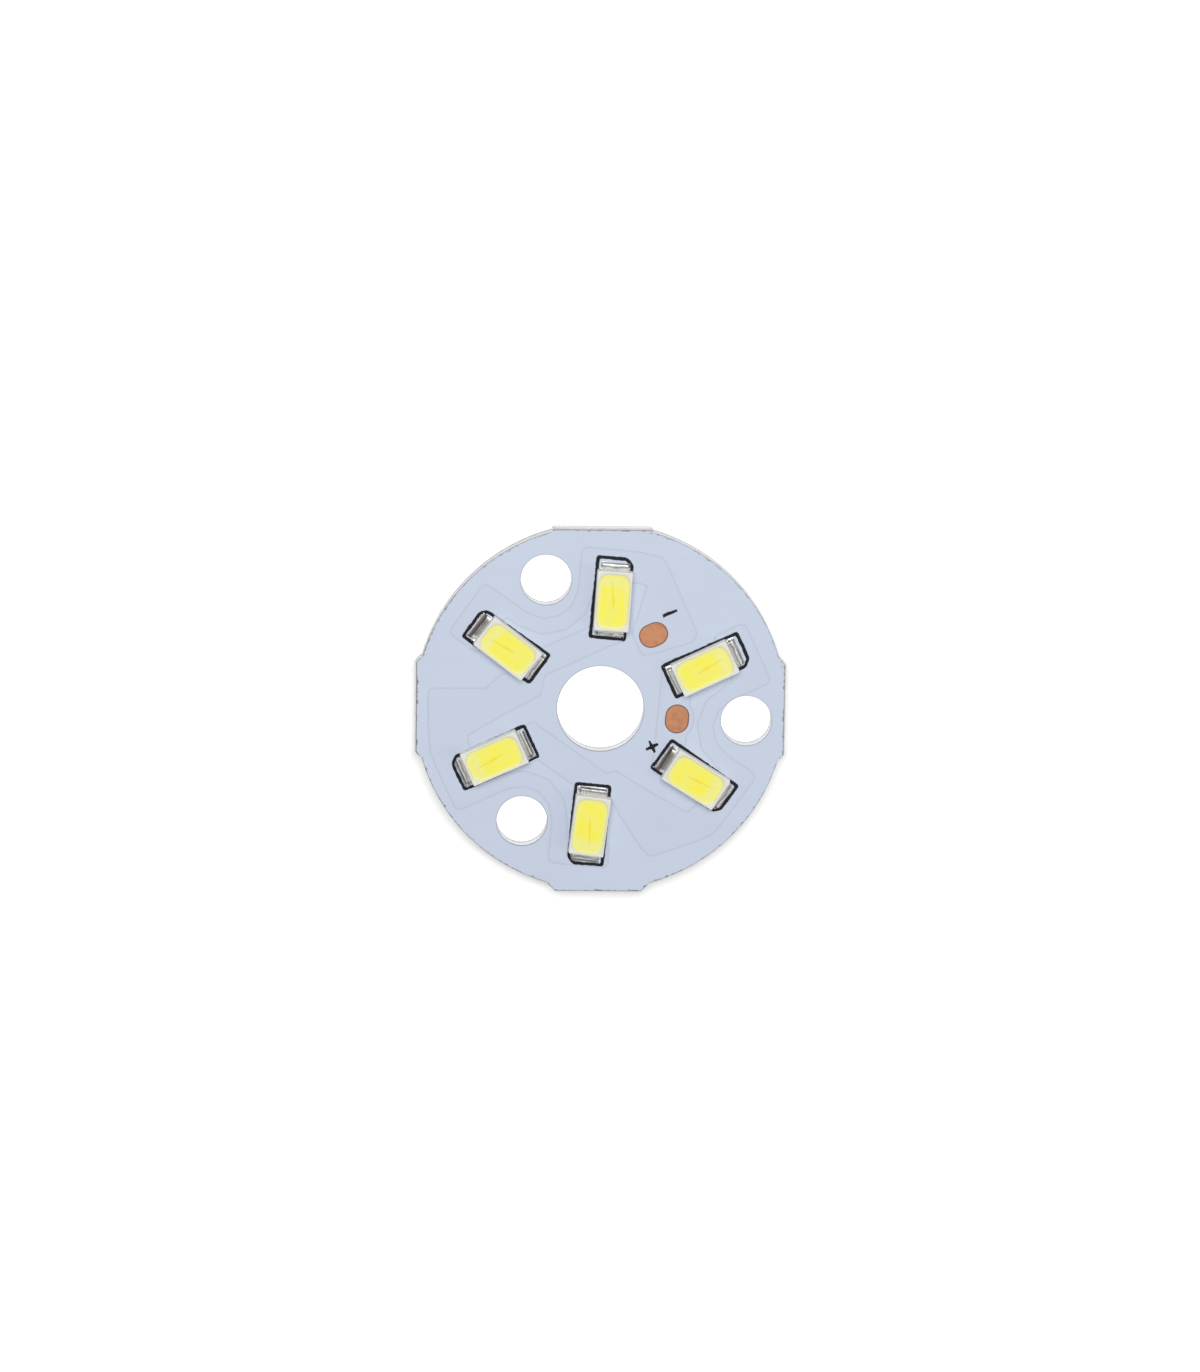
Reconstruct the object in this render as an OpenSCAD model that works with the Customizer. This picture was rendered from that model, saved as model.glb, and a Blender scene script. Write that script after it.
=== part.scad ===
// Round aluminium-core LED board.
// Six surface-mount LEDs stand on a ring, wired as three pairs in series. A wire hole is in the middle,
// three screw holes lie between the LEDs of each pair, and four scored edges show where the board was
// broken out of its panel. The back of the plate lies on z = 0 and the LEDs face +Z.

/* [Board] */
// Diameter of the round outline
board_d = 30; // [29:0.5:36]
// Thickness of the aluminium plate
base_t = 1.5; // [1.2:0.1:3]
// Thickness of the insulating layer
dielectric_t = 0.1; // [0.05:0.01:0.2]
// Thickness of the copper
copper_t = 0.035; // [0.035:0.035:0.105]
// Thickness of the white lacquer over the copper
mask_t = 0.03; // [0.025:0.005:0.06]
// How much lower the lacquer lies beside the copper
mask_dip = 0.02; // [0.01:0.002:0.02]
// Width of the slope where the lacquer climbs over a copper edge
mask_slope = 0.28; // [0.1:0.02:0.32]
// Thickness of the printed ink
ink_t = 0.015; // [0.01:0.005:0.03]

/* [Holes] */
// Diameter of the wire hole in the middle
wire_hole_d = 7; // [5:0.5:7.5]
// Diameter of each screw hole
screw_hole_d = 4.1; // [3:0.1:4.4]
// Distance from the middle of a screw hole to the round edge
screw_edge = 3.5; // [3.2:0.1:3.8]
// Offset of the drilled screw holes from the outline, along X
drill_dx = 0.35; // [-0.4:0.05:0.4]
// Offset of the drilled screw holes from the outline, along Y
drill_dy = 0.1; // [-0.4:0.05:0.4]

/* [Break-off edges] */
// How far the middle of each flat lies inside the round outline
flat_inset = 0.02; // [0.01:0.01:0.3]
// Width of each flat where it meets the round outline's radius
flat_w = 7.2; // [6:0.1:9]
// Size of the slanted corner where a flat runs back to the round edge
flat_corner = 0.45; // [0.3:0.05:0.8]
// Depth of the score on each face
score_depth = 0.4; // [0.2:0.05:0.55]
// Full angle of the score
score_angle = 30; // [20:5:60]

/* [Artwork] */
// Turn of the LED ring about the centre
art_turn = 25; // [0:1:90]
// Offset of the copper, the print and the scores from the round outline, along X
art_dx = 0; // [-0.3:0.05:0.3]
// Offset of the copper, the print and the scores from the round outline, along Y
art_dy = -0.25; // [-0.3:0.05:0.3]
// Distance from the middle of an LED to the round edge
lamp_edge = 5.65; // [5.5:0.05:6]
// Largest distance by which an LED was set off its footprint
place_error = 0.2; // [0:0.01:0.25]

/* [Copper] */
// Copper kept clear of the edge of each screw hole
hole_clear = 0.75; // [0.6:0.05:1]
// Largest distance by which that clearing was drawn off its screw hole
clearing_off = 0.65; // [0:0.05:0.65]
// Width of the copper band round each screw hole
trace_w = 0.85; // [0.5:0.05:1]
// Gap between the band and the next copper area
net_gap = 0.9; // [0.6:0.05:1.1]
// Copper kept clear of the edge of the wire hole
centre_clear = 1; // [0.8:0.05:1.1]
// Width of the copper strap beside the wire hole
strap_w = 1.9; // [1.5:0.05:2.2]
// Most copper that reaches past the outer end of an LED pad
land_reach = 1.3; // [0.8:0.05:1.4]
// Copper that reaches past the sides of the outer LED pads
land_side = 0.5; // [0.3:0.05:0.8]
// Least copper under the lacquer round a pad
land_lap = 0.15; // [0.1:0.05:0.25]
// Radius of the etched corners
etch_r = 0.3; // [0.1:0.05:0.35]

/* [Pads and print] */
// How far each LED pad reaches under the LED body
pad_under = 0.75; // [0.5:0.05:0.9]
// Most that an LED pad reaches past the tip of the solder tab
pad_toe = 0.2; // [0.15:0.05:0.4]
// How far each LED pad reaches past the sides of the solder tab
pad_side = 0.1; // [0.05:0.01:0.2]
// Length of the bare wire pads
wire_pad_l = 2.4; // [2:0.1:2.6]
// Width of the bare wire pads
wire_pad_w = 1.95; // [1.6:0.05:2]
// Copper left between the positive wire pad and the edge of its strap
plus_pad_rim = 0.4; // [0.3:0.05:0.5]
// Width of the printed line
line_w = 0.28; // [0.12:0.02:0.3]
// Gap between the printed line and the end of a pad
print_gap_end = 0.03; // [0.01:0.01:0.1]
// Gap between the printed line and the side of a pad
print_gap_side = 0.14; // [0.05:0.01:0.3]
// Cut corner of the printed outline, at the cathode
print_cut = 0.45; // [0.3:0.05:0.8]

/* [LED body] */
// Length of the LED body at its foot
body_l = 5; // [4.8:0.05:5.2]
// Width of the LED body at its foot
body_w = 3; // [2.8:0.05:3.2]
// Height of the LED body
body_h = 0.9; // [0.8:0.05:1.2]
// Draft of the body's sides
body_draft = 5; // [2:0.5:7]
// Cut on the body's upright edges
body_chamfer = 0.12; // [0.05:0.01:0.2]
// Top face left beyond the ends of the light window
rim_end = 0.22; // [0.15:0.01:0.3]
// Top face left beside the light window
rim_side = 0.17; // [0.1:0.01:0.25]
// Corner radius of the light window
window_r = 0.8; // [0.6:0.05:0.85]
// How far the reflector wall leans in from the window to the floor
reflector_run = 0.475; // [0.35:0.025:0.5]
// How far the silicone lies below the rim
fill_dip = 0.03; // [0.01:0.01:0.1]
// Gap between the print and the underside of the LED body
lamp_gap = 0.015; // [0.01:0.005:0.05]

/* [LED inside] */
// Thickness of the lead frame
lead_t = 0.2; // [0.12:0.01:0.25]
// Width of the solder tabs
lead_w = 2.1; // [1.8:0.05:2.2]
// Width of the leads inside the body
lead_in_w = 2.2; // [2:0.05:2.4]
// Length of each solder tab outside the body
lead_out = 0.4; // [0.35:0.05:0.45]
// Depth of the locking notch on each side of a lead
lead_lock = 0.25; // [0.1:0.05:0.4]
// Length of the locking notch
lead_lock_l = 0.35; // [0.2:0.05:0.4]
// Wall left between the locking notch and the end of the body
lead_lock_wall = 0.1; // [0.05:0.01:0.15]
// Length of the cathode lead that lies bare in the floor, for its bond
bond_ledge = 0.375; // [0.3:0.025:0.45]
// Width of the moulded rib between the two leads
rib_w = 0.3; // [0.2:0.05:0.35]
// Length of the chip
die_l = 0.86; // [0.6:0.02:0.9]
// Width of the chip
die_w = 0.56; // [0.3:0.02:0.8]
// Thickness of the chip
die_t = 0.12; // [0.08:0.01:0.2]
// Place of the chip along the body
die_x = 0.1; // [-0.2:0.05:0.2]
// Diameter of the bond wires
wire_d = 0.03; // [0.02:0.005:0.04]
// Rise of a bond wire above its straight line
wire_rise = 0.16; // [0.1:0.01:0.2]
// Diameter of a bond
bond_d = 0.1; // [0.08:0.01:0.14]
// Height of a bond
bond_h = 0.04; // [0.03:0.005:0.06]
// Distance from the end of the chip to its bonds
bond_inset = 0.15; // [0.1:0.01:0.2]
// Distance from the chip to the bond on the chip's own lead
floor_bond = 0.5; // [0.3:0.05:0.8]

/* [Solder] */
// Height of the solder at the far edge of a pad, above the underside of the solder tab
solder_edge = 0.02; // [0.01:0.005:0.05]
// How far the solder stays below the top of the solder tab
solder_low = 0.03; // [0.02:0.005:0.06]
// Least length of the hollow slope of the solder
solder_run = 0.05; // [0.04:0.01:0.08]
// How far the solder runs along the sides of a solder tab
solder_lap = 0.25; // [0.1:0.05:0.25]
// Least distance from the LED body to the solder beside a solder tab
solder_clear = 0.1; // [0.08:0.01:0.12]

/* [Hidden] */
lamp_count = 6;
pair_count = 3;
pair_angle = 180 / lamp_count;
// How far each LED was set off its footprint, as shares of the largest error: outwards and anticlockwise
lamp_shift = [[-0.6, -0.4], [-1, -0.75], [0.6, 0.1], [-0.1, 0.3], [-0.1, -0.9], [-0.9, 0.2]];
// How far each LED was turned off its footprint, in degrees
lamp_twist = [1.5, 0.5, 3, -2, -0.5, -2.5];
// How far each LED's outer pad reaches past the tip of its solder tab, as shares of the most
toe_share = [0.1, 0.1, 0.1, 1, 1, 1];
// Copper past the outer end of each LED's pad, as shares of the most
land_share = [0.5, 0.7, 0.6, 0.12, 1, 0.85];
// How far each pair's clearing lies off its screw hole, as shares of the largest: outwards and anticlockwise
clearing_share = [[-0.55, -0.35], [-1, -0.3], [0.4, -0.4]];
// Edge and width of each pair's strap, as shares of the clear distance and of the width
strap_edge_share = [1.3, 0.55, 1.35];
strap_w_share = [0.9, 1, 1.08];
// Corners of the copper beside the first LED of each pair, from its outer end on, as shares of lamp_r
shoulder_share = [
    [[1.01, -1], [0.97, -1.03], [0.29, -1.02], [0.25, -0.97], [0.31, -0.55], [0.5, -0.55], [0.84, -0.85]],
    [[1.12, -0.98], [0.95, -1.12], [0.7, -1.3], [0.42, -0.905], [0.24, -0.87]],
    [[1.05, -0.98], [0.77, -1.12], [0.56, -1.21], [0.48, -1.14], [0.29, -0.9], [0.19, -0.75]]
];
// Corners on the side towards the wire hole, where that copper joins the inner end of the pair before
link_share = [[0.1, -0.73], [0.02, -0.67], [0.02, -0.6], [0.18, -0.53], [0.505, -0.69], [0.84, -0.84]];
// Middle of the negative wire pad, in the same shares
minus_share = [0.425, -0.693];
// Margin by which a cutting shape reaches past what it cuts
over = 1;
// Facets in a full turn of an etched corner
etch_fn = 12;
through = 10 * base_t;
$fn = 48;

// Heights of the layers
copper_z = base_t + dielectric_t;
pad_z = copper_z + copper_t;
mask_z = pad_z + mask_t;
ink_z = mask_z + ink_t;
lamp_z = ink_z + lamp_gap;
joint_t = lamp_z - pad_z;

// LED pads, measured from the middle of an LED
tip_x = body_l / 2 + lead_out;
pad_near = body_l / 2 - pad_under;
pad_far = tip_x + pad_toe;
pad_w = lead_w + 2 * pad_side;
// Cut corner of the cathode pad, which keeps it as far from the printed cut as from the printed end
print_cut_in = print_cut - line_w / 2 * (2 - sqrt(2));
pad_cut = print_cut_in - print_gap_side + print_gap_end * (sqrt(2) - 1);
pad_end = [for (share = toe_share) tip_x + pad_toe * share];
end_cut = [for (end = pad_end) max(print_gap_end, pad_cut + end - pad_far)];

// Board outline and holes
flat_y = board_d / 2 - flat_inset;
screw_r = board_d / 2 - screw_edge;

// Copper, in a pair's own frame with its screw hole on +X
lamp_r = board_d / 2 - lamp_edge;
band_in_r = screw_hole_d / 2 + hole_clear;
band_out_r = band_in_r + trace_w;
inner_r = band_out_r + net_gap;
land_half = pad_w / 2 + land_side;
land_in = lamp_r + pad_near - land_lap;
land_out = [for (share = land_share) lamp_r + pad_far + land_reach * share];
inner_half = pad_w / 2 + land_lap;
inner_near = lamp_r - pad_far - land_lap;
inner_far = lamp_r - pad_near + land_lap;
clearing_at = [for (share = clearing_share) [screw_r, 0] + clearing_off * share];
// Edge of each strap by the wire hole, which leaves at least a track's width beside the clearing
strap_x = [
    for (k = [0 : pair_count - 1])
        min(
            wire_hole_d / 2 + centre_clear * strap_edge_share[k],
            clearing_at[k][0] - inner_r - trace_w
        )
];
minus_pad = lamp_r * minus_share;
plus_pad = [strap_x[pair_count - 1] + plus_pad_rim + wire_pad_w / 2, 0];

// LED body and reflector
top_l = body_l - 2 * body_h * tan(body_draft);
top_w = body_w - 2 * body_h * tan(body_draft);
reflector_h = body_h - lead_t;
reflector_lean = reflector_run / reflector_h;
floor_r = window_r - reflector_run;
corner_x = top_l / 2 - rim_end - window_r;
corner_y = top_w / 2 - rim_side - window_r;
ledge_x = corner_x + floor_r - bond_ledge;
lock_x = body_l / 2 - lead_lock_wall;

lamp_pieces = [
    "housing", "cathode_lead", "anode_lead", "die", "bond_wires", "phosphor",
    "cathode_solder", "anode_solder"
];
board_pieces = [
    "base_plate", "dielectric", "copper_negative", "copper_link_a", "copper_link_b", "copper_positive",
    "solder_mask", "legend"
];

// A point beside the first LED of a pair: u outwards along the LED, v anticlockwise
function first_uv(u, v) = [
    u * cos(pair_angle) + v * sin(pair_angle),
    v * cos(pair_angle) - u * sin(pair_angle)
];

// The same point beside the second LED of a pair
function second_uv(u, v) = [
    u * cos(pair_angle) - v * sin(pair_angle),
    v * cos(pair_angle) + u * sin(pair_angle)
];

// One flat layer of the stack
module layer(z, t) {
    translate([0, 0, z])
        linear_extrude(t)
            children();
}

// A flat shape as it is, or raised to a plate of thickness t
module plate(t) {
    if (t > 0)
        linear_extrude(t)
            children();
    else
        children();
}

// Places a shape in the frame of one pair of LEDs
module in_pair(k) {
    rotate(art_turn + 90 + k * 360 / pair_count)
        children();
}

// Places a shape on the footprint of one LED, with +X outwards
module on_footprint(i) {
    translate([art_dx, art_dy])
        rotate(art_turn + 2 * pair_angle * (2 - i))
            translate([lamp_r, 0])
                children();
}

// Places a piece in one LED as it was set down
module in_lamp(i) {
    shift = place_error * lamp_shift[i - 1];
    on_footprint(i)
        translate([shift[0], shift[1], lamp_z])
            rotate(lamp_twist[i - 1])
                children();
}

// Round outline with four straight break-off edges, whose ends stand proud and slant back to the round
module board_outline() {
    tip = [flat_w / 2 - over, board_d / 2 + over];
    foot = [flat_w / 2 + flat_corner, board_d / 2 - flat_corner];
    intersection() {
        translate([art_dx, art_dy])
            square(2 * flat_y, center = true);
        union() {
            circle(d = board_d);
            for (turn = [0, 90])
                rotate(turn)
                    polygon([
                        tip,
                        foot,
                        [foot[0], -foot[1]],
                        [tip[0], -tip[1]],
                        -tip,
                        -foot,
                        [-foot[0], foot[1]],
                        [-tip[0], tip[1]]
                    ]);
        }
    }
}

// The wire hole and the screw holes
module holes() {
    translate([0, 0, -over])
        cylinder(d = wire_hole_d, h = through);
    translate([drill_dx, drill_dy, -over])
        for (k = [0 : pair_count - 1])
            in_pair(k)
                translate([screw_r, 0])
                    cylinder(d = screw_hole_d, h = through);
}

// The scores along the four flats, on both faces
module scores() {
    lean = tan(score_angle / 2) * (score_depth + over);
    for (side = [0 : 3])
        translate([art_dx, art_dy, 0])
            rotate(90 * side)
                translate([0, flat_y, 0])
                    rotate([90, 0, 90])
                        linear_extrude(flat_w + 2 * over, center = true) {
                            polygon([
                                [0, copper_z - score_depth],
                                [over, copper_z - score_depth],
                                [over, copper_z + over],
                                [-lean, copper_z + over]
                            ]);
                            polygon([
                                [0, score_depth],
                                [-lean, -over],
                                [over, -over],
                                [over, score_depth]
                            ]);
                        }
}

// Everything within r of the middle of a pair's clearing and of the wedge that opens from it to the edge
module clearing(k, r, t) {
    start = [-r * sin(pair_angle), r * cos(pair_angle)];
    end = start + board_d * [cos(pair_angle), sin(pair_angle)];
    translate(clearing_at[k]) {
        plate(t)
            circle(r);
        plate(t)
            polygon([start, end, [end[0], -end[1]], [start[0], -start[1]]]);
    }
}

// All that lies no further out along an LED than a given distance from the centre
module inside_land(angle, reach, t) {
    rotate(angle)
        translate([-board_d, -board_d])
            plate(t)
                square([board_d + reach, 2 * board_d]);
}

// Number of the first LED of a pair, and of the second
function first_lamp(k) = k == 0 ? 1 : lamp_count - 1 - 2 * (k - 1);
function second_lamp(k) = lamp_count - 2 * k;

// Copper of the outer ends of a pair: two lands, joined by a band that passes inside the screw hole
module outer_copper(k, t) {
    intersection() {
        difference() {
            union() {
                clearing(k, band_out_r, t);
                for (side = [0, 1])
                    mirror([0, side, 0])
                        rotate(-pair_angle)
                            translate([land_in, -land_half])
                                plate(t)
                                    square([board_d / 2 - land_in, land_half + screw_r / 2]);
            }
            clearing(k, band_in_r, t);
        }
        inside_land(-pair_angle, land_out[first_lamp(k) - 1], t);
        inside_land(pair_angle, land_out[second_lamp(k) - 1], t);
    }
}

// Copper of the inner ends of a pair: two lands, joined by a strap beside the wire hole whose corners lie
// in the lands, in line with the sides of the pads
module inner_copper(k, t) {
    half = pad_w / 2;
    far_x = strap_x[k] + strap_w * strap_w_share[k];
    near_u = (strap_x[k] + half * sin(pair_angle)) / cos(pair_angle);
    far_u = (far_x - half * sin(pair_angle)) / cos(pair_angle);
    start_u = min(inner_near, near_u - land_lap);
    end_u = max(inner_far, far_u + land_lap);
    difference() {
        union() {
            plate(t)
                polygon([
                    first_uv(near_u, -half),
                    second_uv(near_u, half),
                    second_uv(far_u, -half),
                    first_uv(far_u, half)
                ]);
            for (side = [-1, 1])
                rotate(side * pair_angle)
                    translate([start_u, -inner_half])
                        plate(t)
                            square([end_u - start_u, 2 * inner_half]);
        }
        clearing(k, inner_r, t);
    }
}

// Copper beside the first LED of a pair: it carries the negative wire pad, or runs on to the pair before
module shoulder(k) {
    land_end = land_out[first_lamp(k) - 1];
    polygon(concat(
        [first_uv(land_end, 0), first_uv(land_end, -land_half)],
        [for (share = shoulder_share[k]) lamp_r * share],
        [for (share = k == 0 ? [] : link_share) lamp_r * share],
        [first_uv(land_in + land_lap, -land_half), first_uv(land_in + land_lap, 0)]
    ));
}

// A bare wire pad with round ends
module wire_pad(grow, t) {
    for (end = [-1, 1])
        translate([0, end * (wire_pad_l - wire_pad_w) / 2])
            plate(t)
                circle(wire_pad_w / 2 + grow);
    plate(t)
        square([wire_pad_w + 2 * grow, wire_pad_l - wire_pad_w], center = true);
}

// One copper area: 0 is negative, 1 and 2 link the pairs, 3 is positive
module copper_area(n, t) {
    translate([art_dx, art_dy]) {
        if (n < pair_count)
            in_pair(n) {
                outer_copper(n, t);
                plate(t)
                    shoulder(n);
            }
        if (n > 0)
            in_pair(n - 1)
                inner_copper(n - 1, t);
        if (n == pair_count)
            in_pair(n - 1)
                translate(plus_pad)
                    wire_pad(land_lap, t);
    }
}

// One copper area with its corners rounded, as etching leaves them
module etched_area(n) {
    offset(r = etch_r, $fn = etch_fn)
        offset(r = -2 * etch_r, $fn = etch_fn)
            offset(r = etch_r, $fn = etch_fn)
                copper_area(n, 0);
}

// All the copper areas
module all_copper() {
    for (n = [0 : pair_count])
        etched_area(n);
}

// All that lies beyond the cut corner of one LED's cathode pad
module beyond_pad_cut(i) {
    end = pad_end[i - 1];
    cut = end_cut[i - 1];
    polygon([
        [end - cut - over, -pad_w / 2 - over],
        [end + over, -pad_w / 2 - over],
        [end + over, cut - pad_w / 2 + over]
    ]);
}

// Cathode pad of one LED, with the corner by the printed cut taken off
module cathode_pad(i) {
    end = pad_end[i - 1];
    cut = end_cut[i - 1];
    polygon([
        [pad_near, -pad_w / 2],
        [end - cut, -pad_w / 2],
        [end, cut - pad_w / 2],
        [end, pad_w / 2],
        [pad_near, pad_w / 2]
    ]);
}

// Openings in the lacquer: two pads under each LED and the two wire pads
module pad_openings(t) {
    for (i = [1 : lamp_count])
        on_footprint(i) {
            plate(t)
                cathode_pad(i);
            translate([-pad_far, -pad_w / 2])
                plate(t)
                    square([pad_far - pad_near, pad_w]);
        }
    translate([art_dx, art_dy]) {
        in_pair(0)
            translate(minus_pad)
                wire_pad(0, t);
        in_pair(pair_count - 1)
            translate(plus_pad)
                wire_pad(0, t);
    }
}

// The lacquer where it climbs over the copper, in two steps
module mask_relief() {
    layer(copper_z, mask_z - mask_dip / 2 - copper_z)
        offset(delta = mask_slope)
            all_copper();
    layer(copper_z, mask_z - copper_z)
        offset(delta = mask_slope / 2)
            all_copper();
}

// Printed outline of one LED, grown or shrunk from the middle of its line, with the cathode corner cut
module print_outline(grow) {
    half_l = pad_far + print_gap_end + line_w / 2 + grow;
    half_w = pad_w / 2 + print_gap_side + line_w / 2 + grow;
    cut = print_cut + grow * (2 - sqrt(2));
    polygon([
        [-half_l, -half_w],
        [half_l - cut, -half_w],
        [half_l, cut - half_w],
        [half_l, half_w],
        [-half_l, half_w]
    ]);
}

// Board pieces

module base_plate() {
    color("silver")
        difference() {
            linear_extrude(base_t)
                board_outline();
            holes();
            scores();
        }
}

module dielectric() {
    color("lightslategray")
        difference() {
            layer(base_t, dielectric_t)
                board_outline();
            holes();
            scores();
        }
}

module copper(n) {
    color("chocolate")
        difference() {
            layer(copper_z, copper_t)
                etched_area(n);
            holes();
        }
}

module solder_mask() {
    color("lightsteelblue")
        difference() {
            union() {
                layer(copper_z, mask_z - mask_dip - copper_z)
                    board_outline();
                mask_relief();
            }
            for (n = [0 : pair_count])
                layer(copper_z, copper_t)
                    etched_area(n);
            translate([0, 0, pad_z])
                pad_openings(mask_t + over);
            holes();
            scores();
        }
}

module legend() {
    color("black")
        difference() {
            layer(mask_z - mask_dip, mask_dip + ink_t)
                for (i = [1 : lamp_count])
                    on_footprint(i)
                        difference() {
                            print_outline(line_w / 2);
                            print_outline(-line_w / 2);
                        }
            mask_relief();
        }
}

// LED pieces, in a frame with the cathode at +X and the foot of the body on z = 0

// Moulded body with drafted sides and cut upright edges
module body_block() {
    corner = body_l / 2 + body_w / 2 - body_chamfer;
    intersection() {
        rotate([90, 0, 0])
            linear_extrude(body_w + over, center = true)
                polygon([[-body_l / 2, 0], [body_l / 2, 0], [top_l / 2, body_h], [-top_l / 2, body_h]]);
        rotate([90, 0, 90])
            linear_extrude(body_l + over, center = true)
                polygon([[-body_w / 2, 0], [body_w / 2, 0], [top_w / 2, body_h], [-top_w / 2, body_h]]);
        linear_extrude(body_h)
            rotate(45)
                square(sqrt(2) * corner, center = true);
    }
}

// The reflector cavity from its floor up to a height: sloping walls joined by cones at the corners
module reflector(h) {
    r_top = floor_r + reflector_lean * h;
    translate([0, 0, lead_t]) {
        for (x = [-corner_x, corner_x])
            for (y = [-corner_y, corner_y])
                translate([x, y, 0])
                    cylinder(r1 = floor_r, r2 = r_top, h = h);
        rotate([90, 0, 0])
            linear_extrude(2 * corner_y, center = true)
                polygon([
                    [-corner_x - floor_r, 0],
                    [corner_x + floor_r, 0],
                    [corner_x + r_top, h],
                    [-corner_x - r_top, h]
                ]);
        rotate([90, 0, 90])
            linear_extrude(2 * corner_x, center = true)
                polygon([
                    [-corner_y - floor_r, 0],
                    [corner_y + floor_r, 0],
                    [corner_y + r_top, h],
                    [-corner_y - r_top, h]
                ]);
    }
}

// One half of the lead frame, from its edge at the rib to the tip of its solder tab
module lead(edge_x) {
    half = [for (side = [-1, 1]) side * lead_in_w / 2];
    neck = lead_w / 2 - lead_lock;
    linear_extrude(lead_t)
        polygon([
            [edge_x, half[0]],
            [lock_x - lead_lock_l, half[0]],
            [lock_x - lead_lock_l, -neck],
            [lock_x, -neck],
            [lock_x, -lead_w / 2],
            [tip_x, -lead_w / 2],
            [tip_x, lead_w / 2],
            [lock_x, lead_w / 2],
            [lock_x, neck],
            [lock_x - lead_lock_l, neck],
            [lock_x - lead_lock_l, half[1]],
            [edge_x, half[1]]
        ]);
}

module cathode_lead_shape() {
    lead(ledge_x);
}

module anode_lead_shape() {
    mirror([1, 0, 0])
        lead(rib_w - ledge_x);
}

module die_shape() {
    translate([die_x - die_l / 2, -die_w / 2, lead_t])
        cube([die_l, die_w, die_t]);
}

// A fine wire in an arc between two bonds, given as [x, z] of the faces that they stand on
module bond_wire(from, to) {
    chord = norm(to - from);
    middle = (from + to) / 2;
    slope = atan2(to[1] - from[1], to[0] - from[0]);
    radius = (chord * chord / 4 + wire_rise * wire_rise) / (2 * wire_rise);
    half_turn = asin(chord / (2 * radius));
    translate([middle[0], 0, middle[1] + bond_h * 0.6])
        rotate([0, -slope, 0])
            translate([0, 0, wire_rise - radius])
                rotate([90, 0, 0])
                    rotate(90 - half_turn)
                        rotate_extrude(angle = 2 * half_turn)
                            translate([radius, 0])
                                circle(d = wire_d);
    for (end = [from, to])
        translate([end[0], 0, end[1]])
            cylinder(d = bond_d, h = bond_h);
}

module bond_wires_shape() {
    die_top = lead_t + die_t;
    bond_reach = die_l / 2 - bond_inset;
    bond_wire([die_x + bond_reach, die_top], [ledge_x + bond_ledge / 2, lead_t]);
    bond_wire([die_x - die_l / 2 - floor_bond, lead_t], [die_x - bond_reach, die_top]);
}

module housing(i) {
    color("ivory")
        in_lamp(i)
            difference() {
                body_block();
                reflector(reflector_h + over);
                cathode_lead_shape();
                anode_lead_shape();
            }
}

module cathode_lead(i) {
    color("gainsboro")
        in_lamp(i)
            cathode_lead_shape();
}

module anode_lead(i) {
    color("gainsboro")
        in_lamp(i)
            anode_lead_shape();
}

module die(i) {
    color("goldenrod")
        in_lamp(i)
            die_shape();
}

module bond_wires(i) {
    color("gold")
        in_lamp(i)
            bond_wires_shape();
}

module phosphor(i) {
    color("yellow")
        in_lamp(i)
            difference() {
                reflector(reflector_h - fill_dip);
                die_shape();
                bond_wires_shape();
            }
}

// Solder on one pad: a thin joint under the lead, and a hollow fillet between the tab and the pad's edge
module solder(i, side) {
    far = side > 0 ? pad_end[i - 1] : pad_far;
    shift = side * place_error * lamp_shift[i - 1][0];
    tip = min(tip_x + shift, far - solder_run);
    back = max(tip - solder_lap, body_l / 2 + shift + solder_clear);
    top_h = lead_t - solder_low;
    curve = [
        for (step = [0 : 0.2 : 1])
            [tip + (far - tip) * step, solder_edge + (top_h - solder_edge) * pow(1 - step, 2)]
    ];
    profile = concat(
        [[pad_near, 0], [pad_near, -joint_t], [far, -joint_t]],
        [for (step = [len(curve) - 1 : -1 : 0]) curve[step]],
        [[back, top_h], [back, 0]]
    );
    color("darkgray")
        difference() {
            on_footprint(i)
                translate([0, 0, lamp_z])
                    mirror([side < 0 ? 1 : 0, 0, 0])
                        rotate([90, 0, 0])
                            linear_extrude(pad_w, center = true)
                                polygon(profile);
            in_lamp(i) {
                cathode_lead_shape();
                anode_lead_shape();
            }
            if (side > 0)
                on_footprint(i)
                    linear_extrude(through)
                        beyond_pad_cut(i);
        }
}

base_plate();
dielectric();
copper(0);  // copper_negative
copper(1);  // copper_link_a
copper(2);  // copper_link_b
copper(3);  // copper_positive
solder_mask();
legend();
for (i = [1 : lamp_count]) {
    housing(i);
    cathode_lead(i);
    anode_lead(i);
    die(i);
    bond_wires(i);
    phosphor(i);
    solder(i, 1);
    solder(i, -1);
}
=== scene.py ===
"""Looks of a round aluminium-core LED board that lies on its back, seen from above.

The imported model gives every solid. This script dresses the board's own solids and replaces the small ones
whose finish shows: the LED bodies, the silicone, the solder and the print. Sizes are in millimetres.
"""

import logging
import math
from collections.abc import Iterable, Mapping, Sequence
from dataclasses import dataclass, field
from enum import Enum

import bmesh
import bpy
from mathutils import Matrix, Vector, noise


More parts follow.
